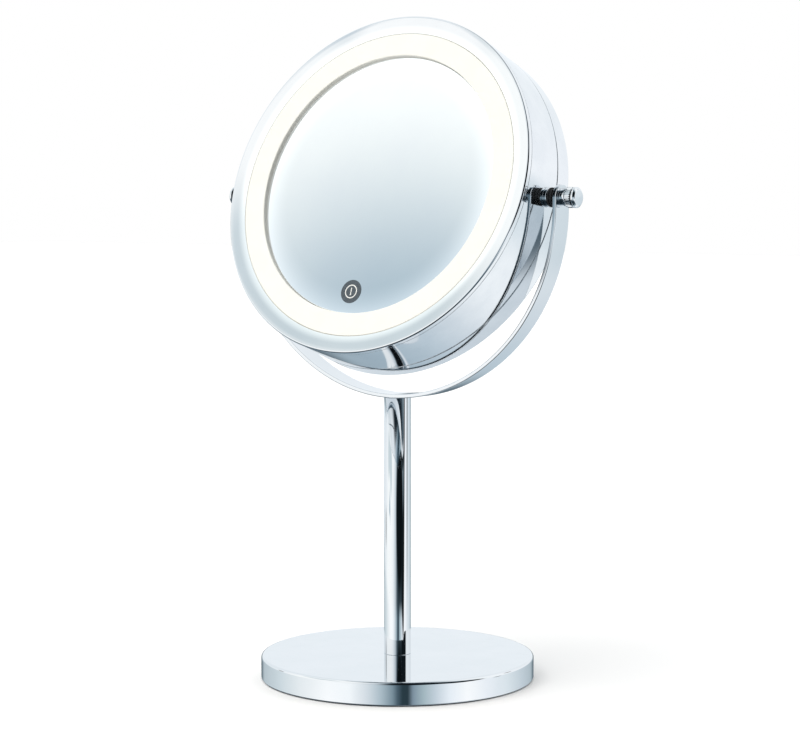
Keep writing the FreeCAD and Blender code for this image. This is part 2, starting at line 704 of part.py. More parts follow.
def build_control():
    """Control board below the cells with its few tall parts."""
    board = new_body("control_board")
    centre_y = "(touch_y + board_depth / 2 - 2)"
    slab(board, box_corners("0 - board_width / 2", "board_width / 2", f"{centre_y} - board_depth / 2",
                            f"{centre_y} + board_depth / 2"), "board_height", "board_thickness")
    head_place(board)

    parts = new_body("board_components")
    low = "board_height"
    blocks = ((-13.0, 4.0, 5.0, 5.0, 1.4), (9.0, 4.0, 6.0, 6.0, 3.0), (-2.0, 5.0, 4.0, 3.0, 1.2),
              (14.5, -3.0, 3.0, 7.0, 4.0))
    for index, (x, y, width, depth, height) in enumerate(blocks):
        slab(parts, box_corners(f"{x} - {width} / 2", f"{x} + {width} / 2",
                                f"{centre_y} + {y} - {depth} / 2", f"{centre_y} + {y} + {depth} / 2"),
             low, str(height), name=f"block_{index}", reverse=True)
    head_place(parts)


def leaf(length, half_height, width, thickness):
    """Return a folded strip spring whose two feet stand on the YZ plane and whose nose points along +X."""
    corners = [(0, -half_height), (length, 0), (0, half_height), (0, half_height - thickness * 2),
               (length - thickness * 2, 0), (0, thickness * 2 - half_height)]
    points = [FreeCAD.Vector(x, -width / 2, z) for x, z in corners]
    face = Part.Face(Part.makePolygon(points + points[:1]))
    return face.extrude(FreeCAD.Vector(0, width, 0))


def shape_piece(label, solids):
    """Add a piece whose solids are made directly in the head's frame."""
    obj = doc.addObject("Part::Feature", label)
    obj.Label = label
    obj.Shape = Part.makeCompound(solids)
    head_place(obj)
    pieces.append(obj)


def build_touch_pillar():
    """Conductive rubber pillar that joins the control board to the electrode behind the glass."""
    pillar = new_body("touch_pillar")
    low = "(board_height + board_thickness)"
    sketch = new_sketch(pillar, "disc_sketch", "XY_Plane")
    sketch.setExpression(".AttachmentOffset.Base.z", bound(low))
    circle(sketch, "touch_x", "touch_y", "pillar_radius")
    feature(pillar, "Pad", "disc", sketch, Length=f"{GLASS_BACK} - electrode_thickness - {low}")
    head_place(pillar)


def build_battery():
    """Open tray behind the carrier, three cells, their end plates and the folded leaf springs."""
    tray_top = f"({CARRIER_FACE} - carrier_wall)"
    cell_z = f"({tray_top} - tray_wall - face_gap - cell_radius)"
    mouth = f"({cell_z} - cell_radius - 1)"
    half_y = f"(cell_pitch * {CELL_COUNT} / 2 + 0.5)"
    tray = new_body("battery_tray")
    outer_x = "(tray_half_length + tray_wall)"
    outer_y = f"({half_y} + tray_wall)"
    slab(tray, box_corners(f"0 - {outer_x}", outer_x, f"cell_centre_y - {outer_y}",
                           f"cell_centre_y + {outer_y}"), mouth, f"{tray_top} - {mouth}")
    slab(tray, box_corners("0 - tray_half_length", "tray_half_length", f"cell_centre_y - {half_y}",
                           f"cell_centre_y + {half_y}"), f"{mouth} - 1",
         f"{tray_top} - {mouth} - tray_wall + 1", name="hollow", kind="Pocket", reverse=True)
    head_place(tray)

    plate_face = number("tray_half_length - contact_thickness")
    pitch, centre_y, height = number("cell_pitch"), number("cell_centre_y"), number(cell_z)
    radius, length = number("cell_radius"), number("cell_length")
    nub, nub_length = number("cell_nub_radius"), number("cell_nub_length")
    plate = number("contact_thickness")
    half_plate = number("contact_size / 2")
    leaf_height, leaf_width = number("leaf_half_height"), number("leaf_width")
    leaf_thickness = number("leaf_thickness")
    along = FreeCAD.Vector(1, 0, 0)
    cells, plates, springs = [], [], []
    for index in range(CELL_COUNT):
        y = centre_y + (index - (CELL_COUNT - 1) / 2) * pitch
        way = 1 if index % 2 == 0 else -1
        tip = FreeCAD.Vector(way * plate_face, y, height)
        back = FreeCAD.Vector(way * (plate_face - nub_length), y, height)
        can = Part.makeCylinder(radius, length - nub_length, back, along * -way)
        cells.append(can.fuse(Part.makeCylinder(nub, nub_length, tip, along * -way)).removeSplitter())
        for end in (-1, 1):
            corner = FreeCAD.Vector(min(end * plate_face, end * (plate_face + plate)),
                                    y - half_plate, height - half_plate)
            plates.append(Part.makeBox(plate, 2 * half_plate, 2 * half_plate, corner))
        spring = leaf(number("leaf_length"), leaf_height, leaf_width, leaf_thickness)
        spring.Placement = FreeCAD.Placement(FreeCAD.Vector(-way * plate_face, y, height),
                                             FreeCAD.Rotation(FreeCAD.Vector(1, 0, 0), along * way))
        springs.append(spring)
    shape_piece("battery_cells", cells)
    shape_piece("cell_contacts", plates)
    shape_piece("contact_leaves", springs)


def build_housing_screws():
    """Four screws, driven from behind the bulkhead into the carrier's posts."""
    head_top = number(FRONT_EDGE)
    reach = number("post_circle_radius")
    screws = []
    for index in range(POST_COUNT):
        angle = math.radians(45 + FULL_TURN / POST_COUNT * index)
        x, y = reach * math.cos(angle), reach * math.sin(angle)
        tall = number("bulkhead_thickness + screw_bite")
        shank = Part.makeCylinder(number("screw_radius"), tall, FreeCAD.Vector(x, y, head_top))
        head_height = number("screw_head_height")
        head = Part.makeCylinder(number("screw_head_radius"), head_height,
                                 FreeCAD.Vector(x, y, head_top - head_height))
        screws.append(shank.fuse(head).removeSplitter())
    shape_piece("housing_screws", screws)


# ---- rear of the head ----------------------------------------------------------------------------

def build_rear_housing():
    """Shallow rear half of the drum with its own bevelled rim."""
    body = new_body("rear_housing")
    revolve(body, [
        (DRUM_INSIDE, REAR_EDGE), ("drum_radius", REAR_EDGE), ("drum_radius", "0 - rear_depth"),
        ("rear_opening_radius", "0 - rear_depth + bezel_fall"), ("rear_opening_radius", REAR_LIP),
        (DRUM_INSIDE, REAR_LIP),
    ])
    radius, height = number("drum_radius"), number("0 - rear_depth")
    round_edges(body, "rim_round", lambda edge: ring_edge(edge, radius, height))
    head_place(body)


def build_rear_mirror():
    """Magnifying glass of even thickness, hollow side outwards."""
    curve = number("rear_curve_radius")
    radius = number("rear_glass_radius")
    thick = number("rear_glass_thickness")
    edge_z = number(REAR_LIP)
    drop = curve - math.sqrt(curve ** 2 - radius ** 2)
    half_drop = curve - math.sqrt(curve ** 2 - (radius / 2) ** 2)

    def point(r, z):
        return FreeCAD.Vector(r, 0, z)

    front = Part.Arc(point(0, edge_z + drop), point(radius / 2, edge_z + drop - half_drop),
                     point(radius, edge_z)).toShape()
    side = Part.LineSegment(point(radius, edge_z), point(radius, edge_z + thick)).toShape()
    back = Part.Arc(point(radius, edge_z + thick), point(radius / 2, edge_z + thick + drop - half_drop),
                    point(0, edge_z + thick + drop)).toShape()
    middle = Part.LineSegment(point(0, edge_z + thick + drop), point(0, edge_z + drop)).toShape()
    face = Part.Face(Part.Wire([front, side, back, middle]))
    glass = face.revolve(FreeCAD.Vector(0, 0, 0), FreeCAD.Vector(0, 0, 1), FULL_TURN)
    shape_piece("rear_mirror", [glass])


def build_rear_plate():
    """Backing plate that clamps the rear glass and carries the bayonet's collar and lugs."""
    body = new_body("rear_plate")
    outside = f"({DRUM_INSIDE} - bore_gap)"
    glass_top = f"({REAR_LIP} + rear_glass_thickness)"
    collar_in = "(collar_radius - collar_wall)"
    collar_top = f"({LUG_BOTTOM} + lug_height)"
    revolve(body, [
        ("0", BACKING_BOTTOM), ("rear_glass_radius - 1", BACKING_BOTTOM),
        ("rear_glass_radius - 1", f"{glass_top} + face_gap"), (outside, f"{glass_top} + face_gap"),
        (outside, BACKING_TOP), ("collar_radius", BACKING_TOP), ("collar_radius", collar_top),
        (collar_in, collar_top), (collar_in, BACKING_TOP), ("0", BACKING_TOP),
    ])
    sketch = new_sketch(body, "lug_sketch", "XY_Plane")
    sketch.setExpression(".AttachmentOffset.Base.z", bound(LUG_BOTTOM))
    wedge(sketch, "collar_radius - collar_wall / 2", "(collar_radius + lug_reach) * cos(lug_angle / 2)",
          "0", "lug_angle / 2")
    lug = feature(body, "Pad", "lug", sketch, Length="lug_height")
    repeat_round(body, lug, LUG_COUNT)
    head_place(body)


# ---- build and export ----------------------------------------------------------------------------

def check_objects():
    """Stop if any object failed or any piece has no sound shape."""
    for obj in doc.Objects:
        if "Invalid" in obj.State or "Error" in obj.State:
            raise RuntimeError(f"{obj.Name} failed: {obj.State}")
    for piece in pieces:
        shape = piece.Shape
        if shape.isNull() or not shape.isValid() or not shape.Solids:
            raise RuntimeError(f"{piece.Label} has no sound shape")


def export_pieces():
    """Write one file for each piece and print what it holds."""
    os.makedirs("parts", exist_ok=True)
    for piece in pieces:
        piece.Shape.exportStep(f"parts/{piece.Label}.step")
        box = piece.Shape.BoundBox
        print(f"{piece.Label:26s} {len(piece.Shape.Solids):3d} {piece.Shape.Volume / 1000:9.3f} cm3 "
              f"x {box.XMin:7.2f} {box.XMax:7.2f} y {box.YMin:7.2f} {box.YMax:7.2f} "
              f"z {box.ZMin:7.2f} {box.ZMax:7.2f}")


build_base_shell()
build_ballast_disc()
build_base_pad()
build_base_fixing()
build_stem()
build_stem_plugs()
build_yoke()
build_yoke_screw()
for side_name, turn in (("right", 0.0), ("left", 180.0)):
    build_pivot(side_name, turn)
build_front_bezel()
build_front_housing()
build_diffuser()
build_front_mirror()
build_mirror_carrier()
build_lights()
build_control()
build_touch_pillar()
build_battery()
build_housing_screws()
build_rear_housing()
build_rear_mirror()
build_rear_plate()
doc.recompute()
check_objects()
export_pieces()
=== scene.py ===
"""Lit two-sided cosmetic mirror on a pedestal: its looks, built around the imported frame."""

import json
import logging
import math
from dataclasses import dataclass
from enum import Enum
from typing import Callable, Sequence

import bpy
from mathutils import Matrix, Vector


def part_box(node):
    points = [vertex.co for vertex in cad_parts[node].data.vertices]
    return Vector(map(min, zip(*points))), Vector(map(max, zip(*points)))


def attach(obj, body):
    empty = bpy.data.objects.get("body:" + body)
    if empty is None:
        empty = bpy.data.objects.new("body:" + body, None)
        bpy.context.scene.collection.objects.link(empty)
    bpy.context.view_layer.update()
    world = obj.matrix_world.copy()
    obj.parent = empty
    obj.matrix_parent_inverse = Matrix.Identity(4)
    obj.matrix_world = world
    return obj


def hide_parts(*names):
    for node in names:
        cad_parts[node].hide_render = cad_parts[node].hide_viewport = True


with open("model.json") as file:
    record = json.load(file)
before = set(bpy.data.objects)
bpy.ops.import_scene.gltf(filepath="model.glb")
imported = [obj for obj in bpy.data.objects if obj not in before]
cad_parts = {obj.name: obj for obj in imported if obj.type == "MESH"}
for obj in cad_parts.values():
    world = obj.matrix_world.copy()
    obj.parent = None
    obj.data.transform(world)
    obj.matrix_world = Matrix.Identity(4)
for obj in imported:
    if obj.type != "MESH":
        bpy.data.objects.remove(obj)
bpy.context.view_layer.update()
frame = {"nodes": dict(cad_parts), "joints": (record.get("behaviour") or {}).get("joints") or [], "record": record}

MM = 0.001
LATHE_STEPS = 224
ON_AXIS = 1e-7  # nearer than this, in metres, a point counts as lying on the axis
LEAST_ROUND = 0.02  # every corner is broken by at least this radius, in millimetres
PULL_LIMIT = 0.48  # how much of a straight a corner may take up
STRAIGHT = 1e-6  # a corner that turns less than this counts as none
WAVE_TURNS = 20.0  # the wave texture's own factor between its scale and its phase
LOG = logging.getLogger("mirror")


# ---- measures taken from the frame ---------------------------------------------------------------

@dataclass(frozen=True)
class Axis:
    """A line that pieces are turned about: `start` on it, `along` it, and `across` as zero angle."""

    start: Vector
    along: Vector
    across: Vector

    @property
    def side(self) -> Vector:
        """The third direction, a quarter turn from `across` about `along`."""
        return self.along.cross(self.across)

    def matrix(self) -> Matrix:
        """Returns: the matrix from (across, side, along) coordinates to the row frame."""
        turned = Matrix((self.across, self.side, self.along)).transposed().to_4x4()
        return Matrix.Translation(self.start) @ turned

    def span(self, node: str) -> tuple[float, float]:
        """Measure how far a CAD node reaches along the axis.

        Args:
            node: name of the CAD node.

        Returns:
            The lowest and highest place along the axis, in millimetres.
        """
        points = frame["nodes"][node].data.vertices
        places = [(point.co - self.start).dot(self.along) / MM for point in points]
        return min(places), max(places)

    def reach(self, node: str) -> tuple[float, float]:
        """Measure how far a CAD node's points lie from the axis.

        Args:
            node: name of the CAD node.

        Returns:
            The smallest and largest distance from the axis, in millimetres.
        """
        lines = [v.co - self.start for v in frame["nodes"][node].data.vertices]
        distances = [(line - self.along * line.dot(self.along)).length / MM for line in lines]
        return min(distances), max(distances)


def joint(name: str) -> dict:
    """Returns: the record's joint of that name."""
    return next(j for j in frame["joints"] if j["name"] == name)


X_AXIS, Z_AXIS = Vector((1, 0, 0)), Vector((0, 0, 1))
PIVOT = Vector(joint("head_tilt")["pos_m"])
HEAD = Axis(PIVOT, Vector(joint("rear_cover_twist")["axis"]).normalized(), X_AXIS)
STAND = Axis(Vector((0, 0, 0)), Z_AXIS, X_AXIS)
TILT = {"right": Axis(PIVOT, X_AXIS, Z_AXIS), "left": Axis(PIVOT, -X_AXIS, Z_AXIS)}


# ---- meshes --------------------------------------------------------------------------------------

Corner = tuple[float, float, float]
Outline = list[tuple[float, float, float, float]]


def rounded(corners: Sequence[Corner], closed: bool = True, steps: int = 5) -> Outline:
    """Round the corners of a section so that its normals run on without a break.

    Args:
        corners: (distance from the axis, place along it, corner radius), in millimetres, in the
            order that keeps the outside on the right.
        closed: whether the last corner joins the first.
        steps: parts in each corner's arc.

    Returns:
        Points in metres with the outward normal at each: (distance, place, normal out, normal along).
    """
    points = [Vector((r, a)) * MM for r, a, _ in corners]
    count = len(points)
    made: Outline = []
    for i, (_, _, wanted) in enumerate(corners):
        before = points[i] - points[i - 1]
        after = points[(i + 1) % count] - points[i]
        if not closed and i in (0, count - 1):
            line = (after if i == 0 else before).normalized()
            made.append((*points[i], line.y, -line.x))
            continue
        into, out = before.normalized(), after.normalized()
        turn = into.angle_signed(out)
        half = math.tan(abs(turn) / 2)
        limit = PULL_LIMIT * min(before.length, after.length)
        pull = min(max(wanted, LEAST_ROUND) * MM * half, limit)
        radius = pull / half if half > STRAIGHT else 0.0
        hand = 1.0 if into.x * out.y - into.y * out.x > 0 else -1.0
        centre = points[i] - into * pull + Vector((-into.y, into.x)) * radius * hand
        for step in range(steps + 1):
            angle = abs(turn) * step / steps * hand
            line = Vector((into.x * math.cos(angle) - into.y * math.sin(angle),
                           into.x * math.sin(angle) + into.y * math.cos(angle)))
            normal = Vector((line.y, -line.x))
            place = centre + normal * radius * hand
            made.append((*place, *normal))
    return made


def set_normals(mesh: bpy.types.Mesh, normals: Sequence[Vector]) -> None:
    """Give each point of a mesh its true normal, so that polished faces reflect without facets."""
    mesh.polygons.foreach_set("use_smooth", [True] * len(mesh.polygons))
    mesh.normals_split_custom_set_from_vertices(normals)


def lathe(name: str, axis: Axis, outline: Outline, closed: bool = True, steps: int = LATHE_STEPS,
          shape: Callable[[float, float], float] | None = None) -> bpy.types.Mesh:
    """Turn a section about an axis.

    Args:
        name: the mesh's name.
        axis: the line to turn about.
        outline: the section, from `rounded`.
        closed: whether the section is a loop; an open one starts and ends on the axis.
        steps: parts in the full turn.
        shape: changes a distance from the axis by angle, given (distance, angle).

    Returns:
        The mesh, in place in the row frame, with its true normals.
    """
    place = axis.matrix()
    turned = place.to_3x3()
    points, normals, faces = [], [], []
    rings: list[list[int]] = []
    for r, a, out, along in outline:
        if r < ON_AXIS:
            rings.append([len(points)] * steps)
            points.append(place @ Vector((0, 0, a)))
            normals.append(turned @ Vector((0, 0, 1 if along > 0 else -1)))
            continue
        rings.append(list(range(len(points), len(points) + steps)))
        for step in range(steps):
            angle = math.tau * step / steps
            cos, sin = math.cos(angle), math.sin(angle)
            reach = shape(r, angle) if shape else r
            points.append(place @ Vector((reach * cos, reach * sin, a)))
            normals.append(turned @ Vector((out * cos, out * sin, along)))
    pairs = list(zip(rings, rings[1:] + rings[:1] if closed else rings[1:]))
    for low, high in pairs:
        for step in range(steps):
            after = (step + 1) % steps
            face = [low[step], low[after], high[after], high[step]]
            kept = [v for n, v in enumerate(face) if v != face[n - 1]]
            if len(kept) > 2:
                faces.append(kept)
    mesh = bpy.data.meshes.new(name)
    mesh.from_pydata(points, [], faces)
    set_normals(mesh, normals)
    return mesh


def block(name: str, corners: Sequence[tuple[float, float, float]]) -> bpy.types.Mesh:
    """Make a six-sided solid.

    Args:
        name: the mesh's name.
        corners: the four corners of its foot, then those of its top, in millimetres.

    Returns:
        The mesh.
    """
    mesh = bpy.data.meshes.new(name)
    faces = [(3, 2, 1, 0), (4, 5, 6, 7), (0, 1, 5, 4), (1, 2, 6, 5), (2, 3, 7, 6), (3, 0, 4, 7)]
    mesh.from_pydata([Vector(corner) * MM for corner in corners], [], faces)
    return mesh


# ---- node trees ----------------------------------------------------------------------------------

Tree = bpy.types.NodeTree
Node = bpy.types.Node


def add(tree: Tree, kind: str, links: dict | None = None, **settings: object) -> Node:
    """Add one node to a tree.

    Args:
        tree: the tree to add to.
        kind: the node's type name.
        links: for each input, by name or number, a value or the output socket that feeds it.
        **settings: the node's own properties; `stops` holds a ramp's places and sRGB colours.

    Returns:
        The new node.
    """
    node = tree.nodes.new(kind)
    stops = settings.pop("stops", ())
    for key, value in settings.items():
        setattr(node, key, value)
    for number, (place, colour) in enumerate(stops):
        elements = node.color_ramp.elements
        element = elements[number] if number < 2 else elements.new(place)
        element.position, element.color = place, linear(colour)
    for key, value in (links or {}).items():
        if isinstance(value, bpy.types.NodeSocket):
            tree.links.new(value, node.inputs[key])
        else:
            node.inputs[key].default_value = value
    return node


def new_tree(name: str, **inputs: str) -> Tree:
    """Start a Geometry Nodes tree that takes and gives a geometry.

    Args:
        name: the tree's name.
        **inputs: its other inputs, each with its kind.

    Returns:
        The tree, with its sockets and nothing in it.
    """
    tree = bpy.data.node_groups.new(name, "GeometryNodeTree")
    for label, kind in {"Geometry": "Geometry", **inputs}.items():
        tree.interface.new_socket(label, in_out="INPUT", socket_type="NodeSocket" + kind)
    tree.interface.new_socket("Geometry", in_out="OUTPUT", socket_type="NodeSocketGeometry")
    return tree


def end_tree(tree: Tree, last: Node, material: bpy.types.Material) -> Tree:
    """Returns: the tree, ended after its `last` node with real geometry in that material."""
    real = add(tree, "GeometryNodeRealizeInstances", {0: last.outputs[0]})
    dressed = add(tree, "GeometryNodeSetMaterial", {"Geometry": real.outputs[0], "Material": material})
    add(tree, "NodeGroupOutput", {0: dressed.outputs[0]})
    return tree


def linear(hex_colour: str) -> tuple[float, float, float, float]:
    """Turn an sRGB hex colour to linear red, green, blue and alpha."""
    parts = [int(hex_colour[i:i + 2], 16) / 255 for i in (1, 3, 5)]
    return (*(c / 12.92 if c <= 0.04045 else ((c + 0.055) / 1.055) ** 2.4 for c in parts), 1.0)


def per_mm(size: float) -> float:
    """Returns: the noise scale whose features are `size` millimetres wide, in metres' coordinates."""
    return 1.0 / (size * MM)


class Grain(Enum):
    """What the fine surface pattern of a finish looks like."""

    CLOUDS = "soft uneven patches"
    PORES = "small round cells"
    TURNED = "rings left by a lathe tool"
    WOVEN = "the weave of glass cloth under a lacquer"


@dataclass(frozen=True)
class Finish:
    """A finish: its real name, its colours, how it shines and its fine pattern.

    `colour` and `shade` are the two ends of its uneven colour, `patch` the width of the patches in
    millimetres, `grain_mm` and `depth_mm` the pitch and height of the fine relief.
    """

    name: str
    colour: str
    shade: str
    metallic: float
    smooth: float
    rough: float
    patch: float = 12.0
    grain: Grain = Grain.CLOUDS
    grain_mm: float = 1.0
    depth_mm: float = 0.01
    coat: float = 0.0

    def relief(self, tree: Tree, coordinates: bpy.types.NodeSocket) -> bpy.types.NodeSocket:
        """Draw the fine pattern.

        Args:
            tree: the material's tree.
            coordinates: the object's own coordinates.

        Returns:
            The output that holds its height from 0 to 1.
        """
        scale = per_mm(self.grain_mm)
        if self.grain is Grain.PORES:
            return add(tree, "ShaderNodeTexVoronoi",
                       {"Vector": coordinates, "Scale": scale}).outputs["Distance"]
        if self.grain is Grain.TURNED:
            return add(tree, "ShaderNodeTexWave", {
                "Vector": coordinates, "Scale": scale / WAVE_TURNS, "Distortion": 0.4},
                wave_type="RINGS", rings_direction="Z").outputs["Fac"]
        if self.grain is Grain.WOVEN:
            warp, weft = (add(tree, "ShaderNodeTexWave",
                              {"Vector": coordinates, "Scale": scale / WAVE_TURNS},
                              bands_direction=way).outputs["Fac"] for way in ("X", "Y"))
            return add(tree, "ShaderNodeMath", {0: warp, 1: weft}, operation="MAXIMUM").outputs[0]
        return add(tree, "ShaderNodeTexNoise", {"Vector": coordinates, "Scale": scale, "Detail": 3.0,
                                                "Roughness": 0.5}).outputs["Fac"]

    def make(self) -> bpy.types.Material:
        """Build the material.

        Returns:
            A material whose shader's colour, roughness and relief come from its nodes.
        """
        material = bpy.data.materials.new(self.name)
        material.use_nodes = True
        tree = material.node_tree
        tree.nodes.clear()
        where = add(tree, "ShaderNodeTexCoord").outputs["Object"]
        cloud = add(tree, "ShaderNodeTexNoise", {"Vector": where, "Scale": per_mm(self.patch),
                                                 "Detail": 4.0, "Roughness": 0.6}).outputs["Fac"]
        spread = add(tree, "ShaderNodeMapRange", {"Value": cloud, "From Min": 0.35, "From Max": 0.65})
        colour = add(tree, "ShaderNodeMix", {"Factor": spread.outputs["Result"], 6: linear(self.colour),
                                             7: linear(self.shade)}, data_type="RGBA")
        shine = add(tree, "ShaderNodeMapRange", {"Value": cloud, "From Min": 0.3, "From Max": 0.7,
                                                 "To Min": self.smooth, "To Max": self.rough})
        bump = add(tree, "ShaderNodeBump", {"Height": self.relief(tree, where), "Strength": 0.5,
                                            "Distance": self.depth_mm * MM})
        shader = add(tree, "ShaderNodeBsdfPrincipled", {
            "Base Color": colour.outputs[2], "Roughness": shine.outputs["Result"],
            "Normal": bump.outputs["Normal"], "Metallic": self.metallic, "Coat Weight": self.coat})
        self.finish_shader(tree, shader, where)
        add(tree, "ShaderNodeOutputMaterial", {"Surface": shader.outputs["BSDF"]})
        return material

    def finish_shader(self, tree: Tree, shader: Node, where: bpy.types.NodeSocket) -> None:
        """Leave the shader as it is: a finish that also shines overrides this."""

    @staticmethod
    def shine(tree: Tree, shader: Node, strength: bpy.types.NodeSocket, colour: str) -> None:
        """Let the shader shine in an sRGB hex colour, as strongly as an output says."""
        tree.links.new(strength, shader.inputs["Emission Strength"])
        shader.inputs["Emission Color"].default_value = linear(colour)


def head_radius(tree: Tree, where: bpy.types.NodeSocket) -> bpy.types.NodeSocket:
    """Work out each point's distance from the head's own axis.

    Args:
        tree: the material's tree.
        where: the object's own coordinates.

    Returns:
        The output that holds the distance, in metres.
    """
    line = add(tree, "ShaderNodeVectorMath", {0: where, 1: HEAD.start}, operation="SUBTRACT")
    away = add(tree, "ShaderNodeVectorMath", {0: line.outputs[0], 1: HEAD.along},
               operation="CROSS_PRODUCT")
    return add(tree, "ShaderNodeVectorMath", {0: away.outputs[0]}, operation="LENGTH").outputs["Value"]


@dataclass(frozen=True)
class LitOpal(Finish):
    """Opal acrylic lit from behind: even warm white on its face, unlit down its sides.

    The light dies away between `lit_depth` and `dark_depth`, in millimetres below the `face`.
    """

    glow: float = 1.0
    face: float = 0.0
    dark_depth: float = 0.7
    lit_depth: float = 0.1

    def finish_shader(self, tree: Tree, shader: Node, where: bpy.types.NodeSocket) -> None:
        """Make the ring's face shine and let the light die away over its rounded edges."""
        line = add(tree, "ShaderNodeVectorMath", {0: where, 1: HEAD.start}, operation="SUBTRACT")
        height = add(tree, "ShaderNodeVectorMath", {0: line.outputs[0], 1: HEAD.along},
                     operation="DOT_PRODUCT")
        strength = add(tree, "ShaderNodeMapRange", {
            "Value": height.outputs["Value"], "From Min": self.face - self.dark_depth * MM,
            "From Max": self.face - self.lit_depth * MM, "To Min": 0.0, "To Max": self.glow})
        self.shine(tree, shader, strength.outputs["Result"], "#fffbf2")


@dataclass(frozen=True)
class SilveredGlass(Finish):
    """Silvered float glass whose edge carries a painted glow that stands for the soft light of the ring beside it.
    """

    painted_halo: float = 0.0
    edge: float = 0.0
    painted_halo_width: float = 13.0
    fall_off: float = 1.6

    def finish_shader(self, tree: Tree, shader: Node, where: bpy.types.NodeSocket) -> None:
        """Paint the glow, which fades inwards from the edge of the glass."""
        fade = add(tree, "ShaderNodeMapRange", {
            "Value": head_radius(tree, where), "From Min": self.edge - self.painted_halo_width * MM,
            "From Max": self.edge, "To Min": 0.0, "To Max": 1.0})
        curve = add(tree, "ShaderNodeMath", {0: fade.outputs["Result"], 1: self.fall_off},
                    operation="POWER")
        strength = add(tree, "ShaderNodeMath", {0: curve.outputs[0], 1: self.painted_halo},
                       operation="MULTIPLY")
        self.shine(tree, shader, strength.outputs[0], "#fbfdff")


@dataclass(frozen=True)
class RimWithPaintedGlow(Finish):
    """Chrome plate whose inner edge carries a painted glow that stands for the soft light of the ring beside it.
    """

    painted_glow: float = 0.0
    start: float = 0.0
    painted_glow_width: float = 5.0

    def finish_shader(self, tree: Tree, shader: Node, where: bpy.types.NodeSocket) -> None:
        """Paint the glow, which fades outwards from the ring's inner edge."""
        fade = add(tree, "ShaderNodeMapRange", {
            "Value": head_radius(tree, where), "From Min": self.start + self.painted_glow_width * MM,
            "From Max": self.start, "To Min": 0.0, "To Max": self.painted_glow}, interpolation_type="SMOOTHSTEP")
        self.shine(tree, shader, fade.outputs["Result"], "#fffff6")


